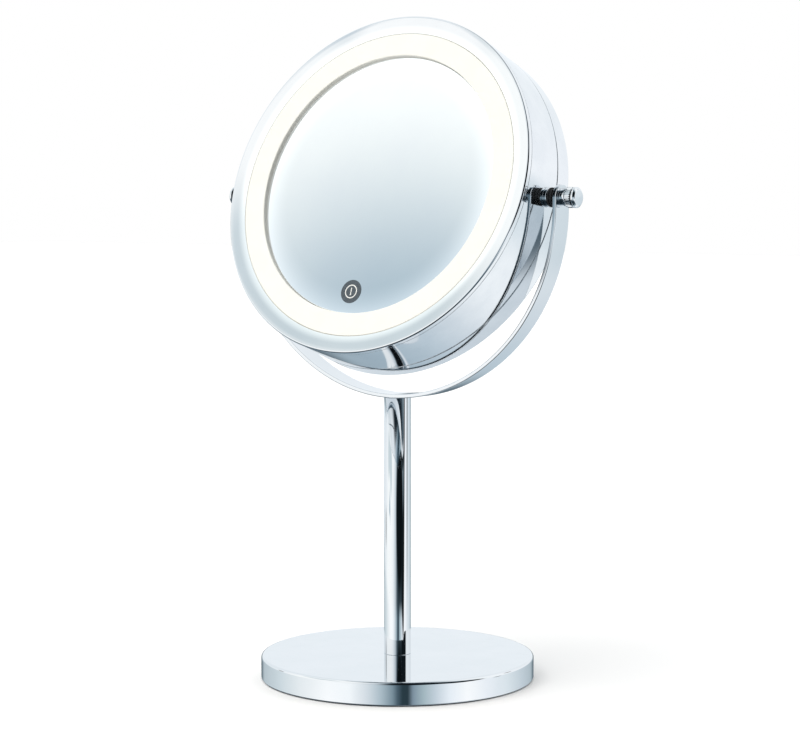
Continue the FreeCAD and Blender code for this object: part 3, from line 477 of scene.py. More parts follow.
def finishes() -> dict[str, Finish]:
    """Returns: every finish by the record's material slot, and the rim's own, which carries a painted glow."""
    glass_edge = HEAD.reach("front_mirror")[1] * MM
    lit_face = HEAD.span("light_diffuser")[1] * MM
    rim_edge = HEAD.reach("front_bezel")[0] * MM
    return {
        # Bright chrome over polished steel: a clear, slightly cool reflection with faint wipe marks.
        "chromed_steel": Finish("bright chrome plate on polished steel", "#e6e9ec", "#e2e6e9", 1.0,
                                0.02, 0.05, patch=26.0, grain_mm=14.0, depth_mm=0.0015),
        # Chrome over moulded ABS: the same colour, with the long soft waves of a moulding.
        "chromed_abs": Finish("bright chrome plate on moulded ABS", "#e8ebee", "#e1e5e9", 1.0,
                              0.03, 0.07, patch=14.0, grain_mm=9.0, depth_mm=0.004),
        # The same plate beside the light: its inner edge carries a painted glow for the ring's faint light.
        "rim_painted_glow": RimWithPaintedGlow("chrome plate with painted glow beside the light", "#e8ebee", "#e5e8eb", 1.0, 0.03, 0.06,
                            patch=30.0, grain_mm=16.0, depth_mm=0.002, painted_glow=0.3, painted_glow_width=4.5,
                            start=rim_edge),
        # Silvered float glass: a sharp reflection with the faint blue-green of the glass, and a painted glow at
        # its edge from the light ring.
        "silvered_glass": SilveredGlass("silvered float glass", "#eff3f4", "#edf1f3", 1.0, 0.012,
                                        0.02, patch=30.0, grain_mm=40.0, depth_mm=0.001, painted_halo=0.22,
                                        edge=glass_edge),
        # Opal acrylic: milky, glossy and lit from behind.
        "opal_acrylic": LitOpal("lit opal acrylic", "#d7d6cf", "#d5d3ca", 0.0, 0.3, 0.4,
                                patch=20.0, grain_mm=2.0, depth_mm=0.001, glow=0.27, face=lit_face),
        # Fired ceramic ink: dark, even, slightly pitted.
        "touch_print": Finish("dark grey ceramic print", "#4a535a", "#414a51", 0.0, 0.32, 0.42,
                              patch=2.0, grain=Grain.PORES, grain_mm=0.3, depth_mm=0.004),
        # Injection-moulded ABS: soft satin with a fine spark-eroded grain.
        "white_abs": Finish("moulded white ABS", "#e6e5e0", "#dedcd6", 0.0, 0.38, 0.5, patch=6.0,
                            grain_mm=0.5, depth_mm=0.02),
        # Nitrile rubber: near black, matt, with a bloom that greys it in patches.
        "black_rubber": Finish("moulded nitrile rubber", "#1b1c1d", "#27282a", 0.0, 0.5, 0.66,
                               patch=1.5, grain_mm=0.4, depth_mm=0.02),
        # EVA foam: matt charcoal with open cells that show as pits.
        "base_foam": Finish("closed-cell EVA foam", "#2b2c2e", "#343638", 0.0, 0.75, 0.9, patch=5.0,
                            grain=Grain.PORES, grain_mm=0.9, depth_mm=0.15),
        # Cast iron under grey primer: lumpy and dull.
        "cast_iron": Finish("primed cast iron", "#4c4e51", "#3c3d40", 0.3, 0.55, 0.75, patch=4.0,
                            grain_mm=1.4, depth_mm=0.12),
        # Zinc plate: grey-blue with uneven passivation.
        "zinc_steel": Finish("bright zinc plate on steel", "#b9bec2", "#a3a9b0", 1.0, 0.22, 0.36,
                             patch=1.6, grain_mm=0.5, depth_mm=0.006),
        # Turned brass: yellow with tool rings.
        "brass": Finish("turned brass", "#cfae63", "#b8954c", 1.0, 0.2, 0.34, patch=2.0,
                        grain=Grain.TURNED, grain_mm=0.4, depth_mm=0.01),
        # Solder mask on glass epoxy: glossy green with the cloth's weave below it.
        "circuit_board": Finish("green solder mask on glass epoxy", "#1d6b3c", "#175a32", 0.0, 0.22,
                                0.32, patch=3.0, grain=Grain.WOVEN, grain_mm=0.8, depth_mm=0.02,
                                coat=0.3),
        # White solder mask: the same board made to throw light forwards.
        "led_board_white": Finish("white solder mask on glass epoxy", "#f0efe9", "#e7e5dd", 0.0, 0.24,
                                  0.34, patch=3.0, grain=Grain.WOVEN, grain_mm=0.8, depth_mm=0.02,
                                  coat=0.3),
        # Phosphor in a white cup: egg-yolk yellow and satin.
        "led_package": Finish("phosphor in a white ceramic cup", "#f3d774", "#ecca58", 0.0, 0.3, 0.4,
                              patch=0.8, grain=Grain.PORES, grain_mm=0.2, depth_mm=0.01),
        # Moulded epoxy: black, dry, finely pitted.
        "component_black": Finish("moulded black epoxy", "#1a1a1c", "#232325", 0.0, 0.45, 0.6,
                                  patch=1.0, grain=Grain.PORES, grain_mm=0.25, depth_mm=0.01),
        # Shrink sleeve: dark blue film drawn tight over a can.
        "cell_jacket": Finish("dark blue shrink sleeve", "#22304a", "#1c2840", 0.0, 0.18, 0.3,
                              patch=5.0, grain_mm=3.0, depth_mm=0.03, coat=0.4),
        # Nickel on spring steel: warm grey, rolled lengthways.
        "nickel_steel": Finish("nickel plate on spring steel", "#c9c5bc", "#b8b3a9", 1.0, 0.18, 0.3,
                               patch=1.2, grain_mm=0.3, depth_mm=0.005),
        # Acrylic foam tape: white, soft, matt.
        "foam_tape": Finish("white acrylic foam tape", "#dcdcd8", "#d0d0cc", 0.0, 0.7, 0.85,
                            patch=3.0, grain=Grain.PORES, grain_mm=0.5, depth_mm=0.05),
    }


# ---- sub-assemblies ------------------------------------------------------------------------------

@dataclass
class Workshop:
    """What every sub-assembly works with: the materials, by slot or name."""

    materials: dict[str, bpy.types.Material]

    def put(self, name: str, mesh: bpy.types.Mesh, body: str, slot: str,
            replaces: Sequence[str] = (), finish: str = "") -> bpy.types.Object:
        """Put a finished mesh in the scene as one piece of the object.

        Args:
            name: the piece's name.
            mesh: its mesh, already in place in the row frame.
            body: the CAD body that carries it.
            slot: the record's material slot.
            replaces: CAD nodes that it stands for.
            finish: the finish to use, where it isn't the slot's own.

        Returns:
            The new object.
        """
        obj = bpy.data.objects.new(name, mesh)
        bpy.context.scene.collection.objects.link(obj)
        mesh.materials.clear()
        mesh.materials.append(self.materials[finish or slot])
        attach(obj, body)
        if replaces:
            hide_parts(*replaces)
        LOG.info("%s: %d faces on %s", name, len(mesh.polygons), body)
        return obj

    def turn(self, name: str, axis: Axis, corners: Sequence[Corner], body: str, slot: str,
             replaces: Sequence[str], closed: bool = True, finish: str = "",
             **options: object) -> bpy.types.Object:
        """Lathe a section and put it in the scene.

        Args:
            name: the piece's name.
            axis: the line to turn about.
            corners: the section in millimetres, with its corner radii.
            body: the CAD body that carries it.
            slot: the record's material slot.
            replaces: CAD nodes that it stands for.
            closed: whether the section is a loop.
            finish: the finish to use, where it isn't the slot's own.
            **options: passed on to `lathe`.

        Returns:
            The new object.
        """
        mesh = lathe(name, axis, rounded(corners, closed), closed, **options)
        return self.put(name, mesh, body, slot, replaces, finish)


@dataclass
class Pedestal:
    """The weighted base and the stem, all on the stand; sizes in millimetres."""

    shop: Workshop
    shoulder: float = 1.5
    skirt_wall: float = 1.2
    lower_edge: float = 0.35
    stem_wall: float = 1.2
    edge: float = 0.25
    grip_rings: int = 10
    grip_first: int = 2
    grip_pitch: float = 5.0
    grip_depth: float = 0.35
    groove_half: float = 0.9
    groove_floor: float = 0.6

    def build(self) -> None:
        """Build the base cover, the pad and the stem."""
        self.build_cover()
        self.build_pad()
        self.build_stem()

    def build_cover(self) -> None:
        """Press the base's cover: flat top, rounded shoulder and straight skirt."""
        low, high = STAND.span("base_shell")
        hole, radius = STAND.reach("base_shell")
        wall = self.skirt_wall
        self.shop.turn("base_cover", STAND, [
            (hole, high - wall, self.edge), (radius - wall, high - wall, self.shoulder / 3),
            (radius - wall, low, self.lower_edge), (radius, low, self.lower_edge),
            (radius, high, self.shoulder), (hole, high, self.edge),
        ], "stand", "chromed_steel", ["base_shell"])

    def build_pad(self) -> None:
        """Cut the non-slip pad, with the shallow moulded rings that grip a wet shelf."""
        low, high = STAND.span("base_pad")
        radius = STAND.reach("base_pad")[1]
        corners: list[Corner] = [(0, low, 0)]
        for ring in range(self.grip_rings):
            middle = (ring + self.grip_first) * self.grip_pitch
            for reach, depth in ((-self.groove_half, 0), (-self.groove_floor, self.grip_depth),
                                 (self.groove_floor, self.grip_depth), (self.groove_half, 0)):
                corners.append((middle + reach, low + depth, 0.1))
        corners += [(radius, low, 0.3), (radius, high, 0.3), (0, high, 0)]
        self.shop.turn("grip_pad", STAND, corners, "stand", "base_foam", ["base_pad"], closed=False)

    def build_stem(self) -> None:
        """Draw the stem's tube and hollow its top to the yoke's curve."""
        low, high = STAND.span("stem_tube")
        radius = STAND.reach("stem_tube")[1]
        bore = radius - self.stem_wall
        mesh = lathe("stem", STAND, rounded([(bore, low, self.edge), (radius, low, self.edge),
                                             (radius, high, 0.05), (bore, high, 0.05)]))
        sweep = YokeStrip.outer_radius()
        centre = YokeStrip.centre_height()
        for vertex in mesh.vertices:
            seat = centre - math.sqrt(sweep ** 2 - vertex.co.x ** 2)
            vertex.co.z = min(vertex.co.z, seat)
        self.shop.put("stem", mesh, "stand", "chromed_steel", ["stem_tube"])


@dataclass
class YokeStrip:
    """The flat strip bent to a half circle, swept along its centreline; sizes in millimetres."""

    shop: Workshop
    thickness: float = 2.0
    edge: float = 0.45
    bend_steps: int = 160
    ear_steps: int = 14

    @staticmethod
    def outer_radius() -> float:
        """Returns: the outer radius of the bend, in metres."""
        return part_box("yoke")[1].x

    @staticmethod
    def centre_height() -> float:
        """Returns: the height of the bend's centre, in metres."""
        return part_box("yoke")[0].z + YokeStrip.outer_radius()

    def centreline(self) -> list[Vector]:
        """Work out the strip's centreline.

        Returns:
            Its points in the row frame, from one ear's tip to the other's.
        """
        low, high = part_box("yoke")
        radius = high.x - self.thickness * MM / 2
        centre, half = self.centre_height(), (high.y - low.y) / 2
        rising = []
        for step in range(self.ear_steps + 1):
            share = math.sin(math.pi / 2 * step / self.ear_steps)
            rising.append(Vector((radius, 0, high.z - half + half * share)))
        bend = [Vector((-radius * math.cos(math.pi * n / self.bend_steps), 0,
                        centre - radius * math.sin(math.pi * n / self.bend_steps)))
                for n in range(self.bend_steps + 1)]
        return [Vector((-p.x, 0, p.z)) for p in reversed(rising)] + bend + rising

    def tree(self, material: bpy.types.Material) -> bpy.types.NodeTree:
        """Build the tree that sweeps a rounded strip and rounds off its two ends.

        Args:
            material: the strip's finish.

        Returns:
            A tree with the inputs Width, Thickness, Edge and Ear centre.
        """
        tree = new_tree("bent strip", Width="Float", Thickness="Float", Edge="Float",
                        **{"Ear centre": "Float"})
        given = add(tree, "NodeGroupInput").outputs
        path = add(tree, "GeometryNodeMeshToCurve", {"Mesh": given["Geometry"]})
        section = add(tree, "GeometryNodeCurvePrimitiveQuadrilateral",
                      {"Width": given["Thickness"], "Height": given["Width"]})
        soft = add(tree, "GeometryNodeFilletCurve", {
            "Curve": section.outputs[0], "Radius": given["Edge"], "Count": 5, "Limit Radius": True},
            mode="POLY")
        strip = add(tree, "GeometryNodeCurveToMesh", {
            "Curve": path.outputs[0], "Profile Curve": soft.outputs[0], "Fill Caps": True})
        place = add(tree, "GeometryNodeInputPosition").outputs[0]
        parts = add(tree, "ShaderNodeSeparateXYZ", {0: place}).outputs
        above = add(tree, "ShaderNodeMath", {0: parts["Z"], 1: given["Ear centre"]},
                    operation="SUBTRACT")
        half = add(tree, "ShaderNodeMath", {0: given["Width"], 1: 2.0}, operation="DIVIDE")
        share = add(tree, "ShaderNodeMath", {0: above.outputs[0], 1: half.outputs[0]},
                    operation="DIVIDE", use_clamp=True)
        squared = add(tree, "ShaderNodeMath", {0: share.outputs[0], 1: 2.0}, operation="POWER")
        rest = add(tree, "ShaderNodeMath", {0: 1.0, 1: squared.outputs[0]}, operation="SUBTRACT",
                   use_clamp=True)
        narrow = add(tree, "ShaderNodeMath", {0: rest.outputs[0]}, operation="SQRT")
        across = add(tree, "ShaderNodeMath", {0: parts["Y"], 1: narrow.outputs[0]}, operation="MULTIPLY")
        moved = add(tree, "ShaderNodeCombineXYZ",
                    {"X": parts["X"], "Y": across.outputs[0], "Z": parts["Z"]})
        shaped = add(tree, "GeometryNodeSetPosition", {"Geometry": strip.outputs[0],
                                                       "Position": moved.outputs[0]})
        joined = add(tree, "GeometryNodeMergeByDistance",
                     {"Geometry": shaped.outputs[0], "Distance": 1e-5})
        return end_tree(tree, joined, material)

    def build(self) -> None:
        """Sweep the strip and put it in the scene with smooth faces and crisp edges."""
        low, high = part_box("yoke")
        width = high.y - low.y
        line = self.centreline()
        path = bpy.data.meshes.new("yoke_path")
        path.from_pydata(line, [(i, i + 1) for i in range(len(line) - 1)], [])
        material = self.shop.materials["chromed_steel"]
        values = {"Width": width, "Thickness": self.thickness * MM, "Edge": self.edge * MM,
                  "Ear centre": high.z - width / 2}
        mesh = grow("yoke_strip", path, self.tree(material), values)
        smooth_by_weight(self.shop.put("yoke_strip", mesh, "stand", "chromed_steel", ["yoke"]))


def grow(name: str, mesh: bpy.types.Mesh, tree: bpy.types.NodeTree,
         values: dict[str, object]) -> bpy.types.Mesh:
    """Run a Geometry Nodes tree on a mesh and keep the result as a plain mesh.

    Args:
        name: name of the new mesh.
        mesh: what the tree starts from.
        tree: the tree.
        values: the tree's inputs, by name.

    Returns:
        The plain mesh.
    """
    seed = bpy.data.objects.new(name + "_seed", mesh)
    bpy.context.scene.collection.objects.link(seed)
    modifier = seed.modifiers.new("grow", "NODES")
    modifier.node_group = tree
    for item in tree.interface.items_tree:
        if item.in_out == "INPUT" and item.name in values:
            modifier[item.identifier] = values[item.name]
    graph = bpy.context.evaluated_depsgraph_get()
    grown = bpy.data.meshes.new_from_object(seed.evaluated_get(graph), depsgraph=graph)
    grown.name = name
    bpy.data.objects.remove(seed)
    return grown


def smooth_by_weight(obj: bpy.types.Object) -> None:
    """Shade a piece smooth while its large flat faces keep their own direction."""
    obj.data.polygons.foreach_set("use_smooth", [True] * len(obj.data.polygons))
    weighted = obj.modifiers.new("weighted", "WEIGHTED_NORMAL")
    weighted.keep_sharp = True


@dataclass
class YokeScrew:
    """The countersunk screw, with a hexagon socket, that shows inside the yoke above the stem."""

    shop: Workshop
    shank: float = 2.5
    head_depth: float = 1.8
    socket_flats: float = 3.0
    socket_depth: float = 1.3
    socket_reach: float = 0.15

    def build(self) -> None:
        """Lathe the screw and press its socket to a hexagon."""
        low, high = STAND.span("yoke_screw")
        head = STAND.reach("yoke_screw")[1]
        socket = self.socket_flats / 2
        floor = high - self.socket_depth
        corners = [(0, low, 0), (self.shank, low, 0.3), (self.shank, high - self.head_depth, 0.2),
                   (head, high, 0.12), (socket, high, 0.08), (socket, floor, 0.05), (0, floor, 0)]

        def hexagon(r: float, angle: float) -> float:
            """Returns: a distance inside the socket pushed out to the hexagon, or else as it is."""
            if r > (socket + self.socket_reach) * MM or r < ON_AXIS:
                return r
            return r / math.cos((angle + math.pi / 6) % (math.pi / 3) - math.pi / 6)

        mesh = lathe("yoke_screw_head", STAND, rounded(corners, closed=False), closed=False, steps=96,
                     shape=hexagon)
        self.shop.put("yoke_screw_head", mesh, "stand", "chromed_steel", ["yoke_screw"])


@dataclass
class Pivot:
    """One side's bush, ribbed grommet and knurled knob.

    Sizes are in millimetres. The knob's `..._share` and `..._from_end` are parts of its length,
    `neck` and `groove_reach` parts of its radius, and `ridge_fill` and `crest_share` parts of a
    ridge's pitch and foot.
    """

    shop: Workshop
    side: str
    edge: float = 0.2
    shank: float = 3.0
    flange_width: float = 1.6
    ribs: int = 3
    rib_height: float = 0.7
    collar_share: float = 0.27
    collar_width: float = 0.7
    groove_from_end: float = 0.31
    groove_share: float = 0.085
    neck: float = 0.9
    groove_reach: float = 0.78
    ridges: int = 30
    ridge_height: float = 0.4
    ridge_fill: float = 0.82
    crest_share: float = 0.35
    ridge_lean: float = 0.18

    def build(self) -> None:
        """Build the three pieces and the knob's knurled band."""
        axis = TILT[self.side]
        self.build_bush(axis)
        self.build_grommet(axis)
        self.build_knob(axis)

    def build_bush(self, axis: Axis) -> None:
        """Turn the bush whose flange seats on the drum."""
        node = f"pivot_bush_{self.side}"
        start, end = axis.span(node)
        bore, flange = axis.reach(node)
        face = end - self.flange_width
        self.shop.turn(f"bush_{self.side}", axis, [
            (bore, start, 0.1), (self.shank, start, 0.2), (self.shank, face, 0.05),
            (flange, face, 0.15), (flange, end, 0.35), (bore, end, 0.1),
        ], "head", "chromed_steel", [node], steps=96)

    def build_grommet(self, axis: Axis) -> None:
        """Mould the grommet with three round ribs between the bush and the yoke."""
        node = f"friction_grommet_{self.side}"
        start, end = axis.span(node)
        bore, rib = axis.reach(node)
        bands = 2 * self.ribs - 1
        pitch = (end - start) / bands
        corners: list[Corner] = [(bore, start, 0.1)]
        for n in range(bands):
            reach = rib if n % 2 == 0 else rib - self.rib_height
            corners += [(reach, start + n * pitch, 0.22), (reach, start + (n + 1) * pitch, 0.22)]
        corners.append((bore, end, 0.1))
        self.shop.turn(f"grommet_{self.side}", axis, corners, "stand", "black_rubber", [node], steps=96)

    def build_knob(self, axis: Axis) -> None:
        """Turn the knob's core, lay a near-black ring in its groove as painted shade, then press the knurl round
        its middle.
        """
        node = f"knob_{self.side}"
        start, end = axis.span(node)
        bore, radius = axis.reach(node)
        length = end - start
        stud_tip = axis.span(f"knob_stud_{self.side}")[1]
        collar, groove = start + length * self.collar_share, end - length * self.groove_from_end
        groove_end = groove + length * self.groove_share
        band, neck, floor = radius - self.ridge_height, radius * self.neck, radius * self.groove_reach
        self.shop.turn(f"knob_core_{self.side}", axis, [
            (bore, start, 0.1), (neck, start, self.edge), (neck, collar - 0.05, 0.1),
            (radius, collar, 0.12), (radius, collar + self.collar_width, 0.12),
            (band, collar + self.collar_width + 0.15, 0.05), (band, groove - 0.1, 0.05),
            (floor, groove, 0.1), (floor, groove_end, 0.1), (radius, groove_end + 0.05, 0.15),
            (radius, end - 1.0, 0.5), (radius * 0.8, end - 0.12, 1.2), (0.0, end, 0.0),
            (0.0, stud_tip + 0.02, 0.0), (bore, stud_tip + 0.02, 0.1),
        ], f"{self.side}_knob", "chromed_steel", [node], steps=128)
        inside, outside = radius * (self.groove_reach - 0.08), radius * (self.groove_reach + 0.05)
        # Near-black ring laid in the knob's groove: painted shade that darkens the groove.
        self.shop.turn(f"knob_groove_shade_{self.side}", axis, [
            (inside, groove, 0.02), (outside, groove + 0.02, 0.05),
            (outside, groove_end - 0.02, 0.05), (inside, groove_end, 0.02),
        ], f"{self.side}_knob", "black_rubber", (), steps=96)
        self.build_knurl(axis, collar + self.collar_width + 0.1, groove - 0.1, band, radius)

    def build_knurl(self, axis: Axis, start: float, end: float, foot: float, crest: float) -> None:
        """Raise straight ridges round the knob with Geometry Nodes.

        Args:
            axis: the knob's axis.
            start: where the ridges start along it, in millimetres.
            end: where they end.
            foot: distance of a ridge's foot from the axis.
            crest: distance of its crest.
        """
        half = math.pi * foot / self.ridges * self.ridge_fill
        top, root = half * self.crest_share, foot - 0.1
        low, high = start + self.ridge_lean, end - self.ridge_lean
        ridge = block("ridge", [(root, -half, start), (root, half, start), (root, half, end),
                                (root, -half, end), (crest, -top, low), (crest, top, low),
                                (crest, top, high), (crest, -top, high)])
        material = self.shop.materials["chromed_steel"]
        mesh = grow(f"knurl_{self.side}", ridge, self.ring_tree(material), {"Count": self.ridges})
        mesh.transform(axis.matrix())
        piece = self.shop.put(f"knurl_{self.side}", mesh, f"{self.side}_knob", "chromed_steel")
        bevel = piece.modifiers.new("worn crest", "BEVEL")
        bevel.width, bevel.segments = 0.05 * MM, 2

    @staticmethod
    def ring_tree(material: bpy.types.Material) -> bpy.types.NodeTree:
        """Build the tree that repeats a piece round the Z axis.

        Args:
            material: the pieces' finish.

        Returns:
            A tree with the input Count.
        """
        name = "ring of ridges"
        if name in bpy.data.node_groups:
            return bpy.data.node_groups[name]
        tree = new_tree(name, Count="Int")
        given = add(tree, "NodeGroupInput").outputs
        seats = add(tree, "GeometryNodeMeshLine", {"Count": given["Count"], "Offset": (0, 0, 0)})
        index = add(tree, "GeometryNodeInputIndex").outputs[0]
        step = add(tree, "ShaderNodeMath", {0: math.tau, 1: given["Count"]}, operation="DIVIDE")
        angle = add(tree, "ShaderNodeMath", {0: index, 1: step.outputs[0]}, operation="MULTIPLY")
        turn = add(tree, "ShaderNodeCombineXYZ", {"Z": angle.outputs[0]})
        copies = add(tree, "GeometryNodeInstanceOnPoints", {
            "Points": seats.outputs[0], "Instance": given["Geometry"], "Rotation": turn.outputs[0]})
        return end_tree(tree, copies, material)


@dataclass
class Head:
    """The drum: bevelled rims, two plated shells, the lit ring, both glasses and the touch mark.

    Sizes are in millimetres. `fall` is how far each bevel drops from rim to glass, `fall_bend` the
    power that its slope follows, and `sweep` the corner radius that makes one smooth slope of its
    points. `bar_share` is half the bar's length as a part of the symbol's radius.
    """

    shop: Workshop
    wall: float = 2.0
    rim_round: float = 1.5
    seam_round: float = 0.35
    joint_round: float = 0.1
    fall: float = 1.2
    fall_bend: float = 1.1
    bevel_parts: int = 4
    sweep: float = 60.0
    lip: float = 1.6
    seat: float = 3.0
    skirt_wall: float = 1.6
    skirt_gap: float = 0.15
    bulkhead: float = 1.6
    opal_wall: float = 1.6
    opal_step: float = 1.9
    opal_gap: float = 0.3
    glass: float = 2.0
    dish_rings: int = 24
    symbol_ring: float = 3.4
    symbol_line: float = 0.55
    bar_share: float = 0.55
    ink: float = 0.05

    def build(self) -> None:
        """Build the visible pieces of the head."""
        self.build_bezel()
        self.build_front_shell()
        self.build_light_ring()
        self.build_front_glass()
        self.build_rear()

    def build_bezel(self) -> None:
        """Turn the front ring: soft outer rim, bevel falling to the light, skirt inside the drum."""
        foot, top = HEAD.span("front_bezel")
        inner, outer = HEAD.reach("front_bezel")
        seat, rim = foot + self.seat, top - self.fall
        skirt = outer - self.wall - self.skirt_gap
        lining = skirt - self.skirt_wall
        parts = self.bevel_parts
        bevel = [(outer + (inner - outer) * n / parts,
                  top - self.fall * (n / parts) ** self.fall_bend, self.sweep)
                 for n in range(1, parts)]
        # Its finish paints a glow on the inner edge of the bevel, beside the light ring.
        self.shop.turn("bezel_ring", HEAD, [
            (skirt, foot, 0.2), (skirt, seat, 0.05), (outer, seat, self.joint_round),
            (outer, top, self.rim_round), *bevel, (inner, rim, 0.2), (inner, rim - self.lip, 0.2),
            (lining, rim - self.lip, 0.2), (lining, foot, 0.2),
        ], "head", "chromed_abs", ["front_bezel"], finish="rim_painted_glow")

    def build_front_shell(self) -> None:
        """Turn the drum's front wall and its bulkhead."""
        low, high = HEAD.span("front_housing")
        opening, outer = HEAD.reach("front_housing")
        inside, face = outer - self.wall, low + self.bulkhead
        self.shop.turn("drum_front", HEAD, [
            (opening, low, 0.2), (outer, low, self.seam_round), (outer, high, self.joint_round),
            (inside, high, 0.2), (inside, face, 0.4), (opening, face, 0.2),
        ], "head", "chromed_abs", ["front_housing"])

    def build_light_ring(self) -> None:
        """Mould the opal ring with its flange and inner wall."""
        low, top = HEAD.span("light_diffuser")
        inner, flange = HEAD.reach("light_diffuser")
        lit, wall = HEAD.reach("front_bezel")[0] - self.opal_gap, self.opal_wall
        step = top - self.opal_step
        self.shop.turn("light_ring", HEAD, [
            (inner, low, 0.2), (inner + wall, low, 0.2), (inner + wall, top - wall, 0.3),
            (lit - wall, top - wall, 0.3), (lit - wall, step - wall, 0.2), (flange, step - wall, 0.2),
            (flange, step, 0.2), (lit, step, 0.2), (lit, top, 0.25), (inner, top, 0.45),
        ], "head", "opal_acrylic", ["light_diffuser"])

    def build_front_glass(self) -> None:
        """Grind the flat glass and print the touch mark on it."""
        low, top = HEAD.span("front_mirror")
        radius = HEAD.reach("front_mirror")[1]
        self.shop.turn("front_glass", HEAD, [
            (0, low, 0), (radius, low, 0.3), (radius, top, 0.4), (0, top, 0),
        ], "head", "silvered_glass", ["front_mirror"], closed=False)
        self.build_touch_mark()

    def build_touch_mark(self) -> None:
        """Print the mark: a dark disc that carries a thin pale ring round a bar."""
        points = [v.co for v in frame["nodes"]["touch_mark"].data.vertices]
        centre = sum(points, Vector()) / len(points)
        flat = centre - HEAD.along * (centre - HEAD.start).dot(HEAD.along)
        axis = Axis(flat, HEAD.along, HEAD.across)
        low, top = axis.span("touch_mark")
        radius = axis.reach("touch_mark")[1]
        self.shop.turn("touch_disc", axis, [
            (0, low, 0), (radius, low, 0.02), (radius, top, 0.04), (0, top, 0),
        ], "head", "touch_print", ["touch_mark"], closed=False, steps=96)
        hole, printed = self.symbol_ring - self.symbol_line, top + self.ink
        self.shop.turn("touch_ring", axis, [
            (hole, top, 0.02), (self.symbol_ring, top, 0.02), (self.symbol_ring, printed, 0.02),
            (hole, printed, 0.02),
        ], "head", "led_board_white", (), steps=96)
        self.build_bar(axis, top)

    def build_bar(self, axis: Axis, top: float) -> None:
        """Print the bar inside the touch mark's ring.

        Args:
            axis: the mark's own axis.
            top: the height of the mark's face along it, in millimetres.
        """
        half, reach = self.symbol_line / 2, self.symbol_ring * self.bar_share
        mesh = block("touch_bar", [(x, y, z) for z in (top, top + self.ink) for x, y in (
            (-half, -reach), (half, -reach), (half, reach), (-half, reach))])
        mesh.transform(axis.matrix())
        self.shop.put("touch_bar", mesh, "head", "led_board_white")

    def build_rear(self) -> None:
        """Turn the rear shell and grind the hollow magnifying glass behind its rim."""
        low, high = HEAD.span("rear_housing")
        opening, outer = HEAD.reach("rear_housing")
        inside, rim = outer - self.wall, low + self.fall
        lip_top = rim + self.lip
        self.shop.turn("drum_rear", HEAD, [
            (inside, lip_top, 0.2), (opening, lip_top, 0.2), (opening, rim, 0.3),
            (outer, low, self.rim_round), (outer, high, self.seam_round), (inside, high, 0.2),
        ], "rear_cover", "chromed_abs", ["rear_housing"])
        edge_low, centre_high = HEAD.span("rear_mirror")
        radius = HEAD.reach("rear_mirror")[1]
        dish, rings = centre_high - self.glass - edge_low, self.dish_rings
        front = [(radius * n / rings, edge_low + dish * (1 - (n / rings) ** 2), LEAST_ROUND)
                 for n in range(rings + 1)]
        back = [(r, a + self.glass, LEAST_ROUND) for r, a, _ in reversed(front)]
        self.shop.turn("rear_glass", HEAD, [*front, *back], "rear_cover", "silvered_glass",
                       ["rear_mirror"], closed=False)


def dress_nodes(materials: dict[str, bpy.types.Material]) -> None:
    """Give every CAD node that still shows the finish of its slot.

    Args:
        materials: the materials, by slot.
    """
    slots = {part["node"]: part["material_slot"] for part in frame["record"]["subparts"]}
    for name, obj in frame["nodes"].items():
        obj.data.materials.clear()
        obj.data.materials.append(materials[slots[name]])
        if not obj.hide_render:
            LOG.info("%s keeps its CAD shape, in %s", name, slots[name])


# ---- studio --------------------------------------------------------------------------------------

@dataclass(frozen=True)
class Flag:
    """A soft round patch in the room: where it is, how wide, in degrees, and its colour.

    `azimuth` counts from the camera's own direction, to its right.
    """

    azimuth: float
    elevation: float
    inner: float
    outer: float
    colour: str


# Three rings of the room, as (degrees from the camera's direction, colour): the floor that lies
# steeply below, the wall just below the object's middle, and the wall above it.
FLOOR_RING = ((-180, "#a3b4bf"), (-165, "#8b9ba6"), (-150, "#667681"), (-120, "#4d5c66"),
              (-60, "#43525c"), (0, "#39474f"), (60, "#4f5e67"), (84, "#9aa8b1"), (98, "#eef2f4"),
              (112, "#f0f3f5"), (132, "#d2dae0"), (155, "#bcc9d2"), (180, "#a3b4bf"))
LOW_WALL = ((-180, "#5d6b74"), (-163, "#66747d"), (-152, "#b2bec4"), (-115, "#d0dade"), (-88, "#eaeeef"),
            (-60, "#ffffff"), (-40, "#fafcfd"), (-28, "#e4e9ed"), (-14, "#b2c1c9"), (-4, "#7c909b"),
            (0, "#4c5f6b"), (4, "#2b3c44"), (9, "#2b3b43"), (13, "#8193a0"), (22, "#a8bac0"),
            (31, "#c6d1d9"), (44, "#ecf1f6"), (60, "#ffffff"), (80, "#f0f3f7"), (105, "#dde5e9"),
            (130, "#c2cdd4"), (152, "#abb8bf"), (163, "#66747d"), (180, "#5d6b74"))
HIGH_WALL = ((-180, "#e6ebef"), (-140, "#e2e8ec"), (-110, "#f0f3f5"), (-90, "#fdfefc"), (-60, "#fdfdfc"),
             (-40, "#f4f6f7"), (-20, "#c5ced4"), (-5, "#4d5b64"), (5, "#2f3b42"), (45, "#39464e"),
             (62, "#8f9ca5"), (78, "#f6f8f9"), (100, "#f8fafb"), (125, "#f1f3f6"), (150, "#e9edf0"),
             (180, "#e6ebef"))
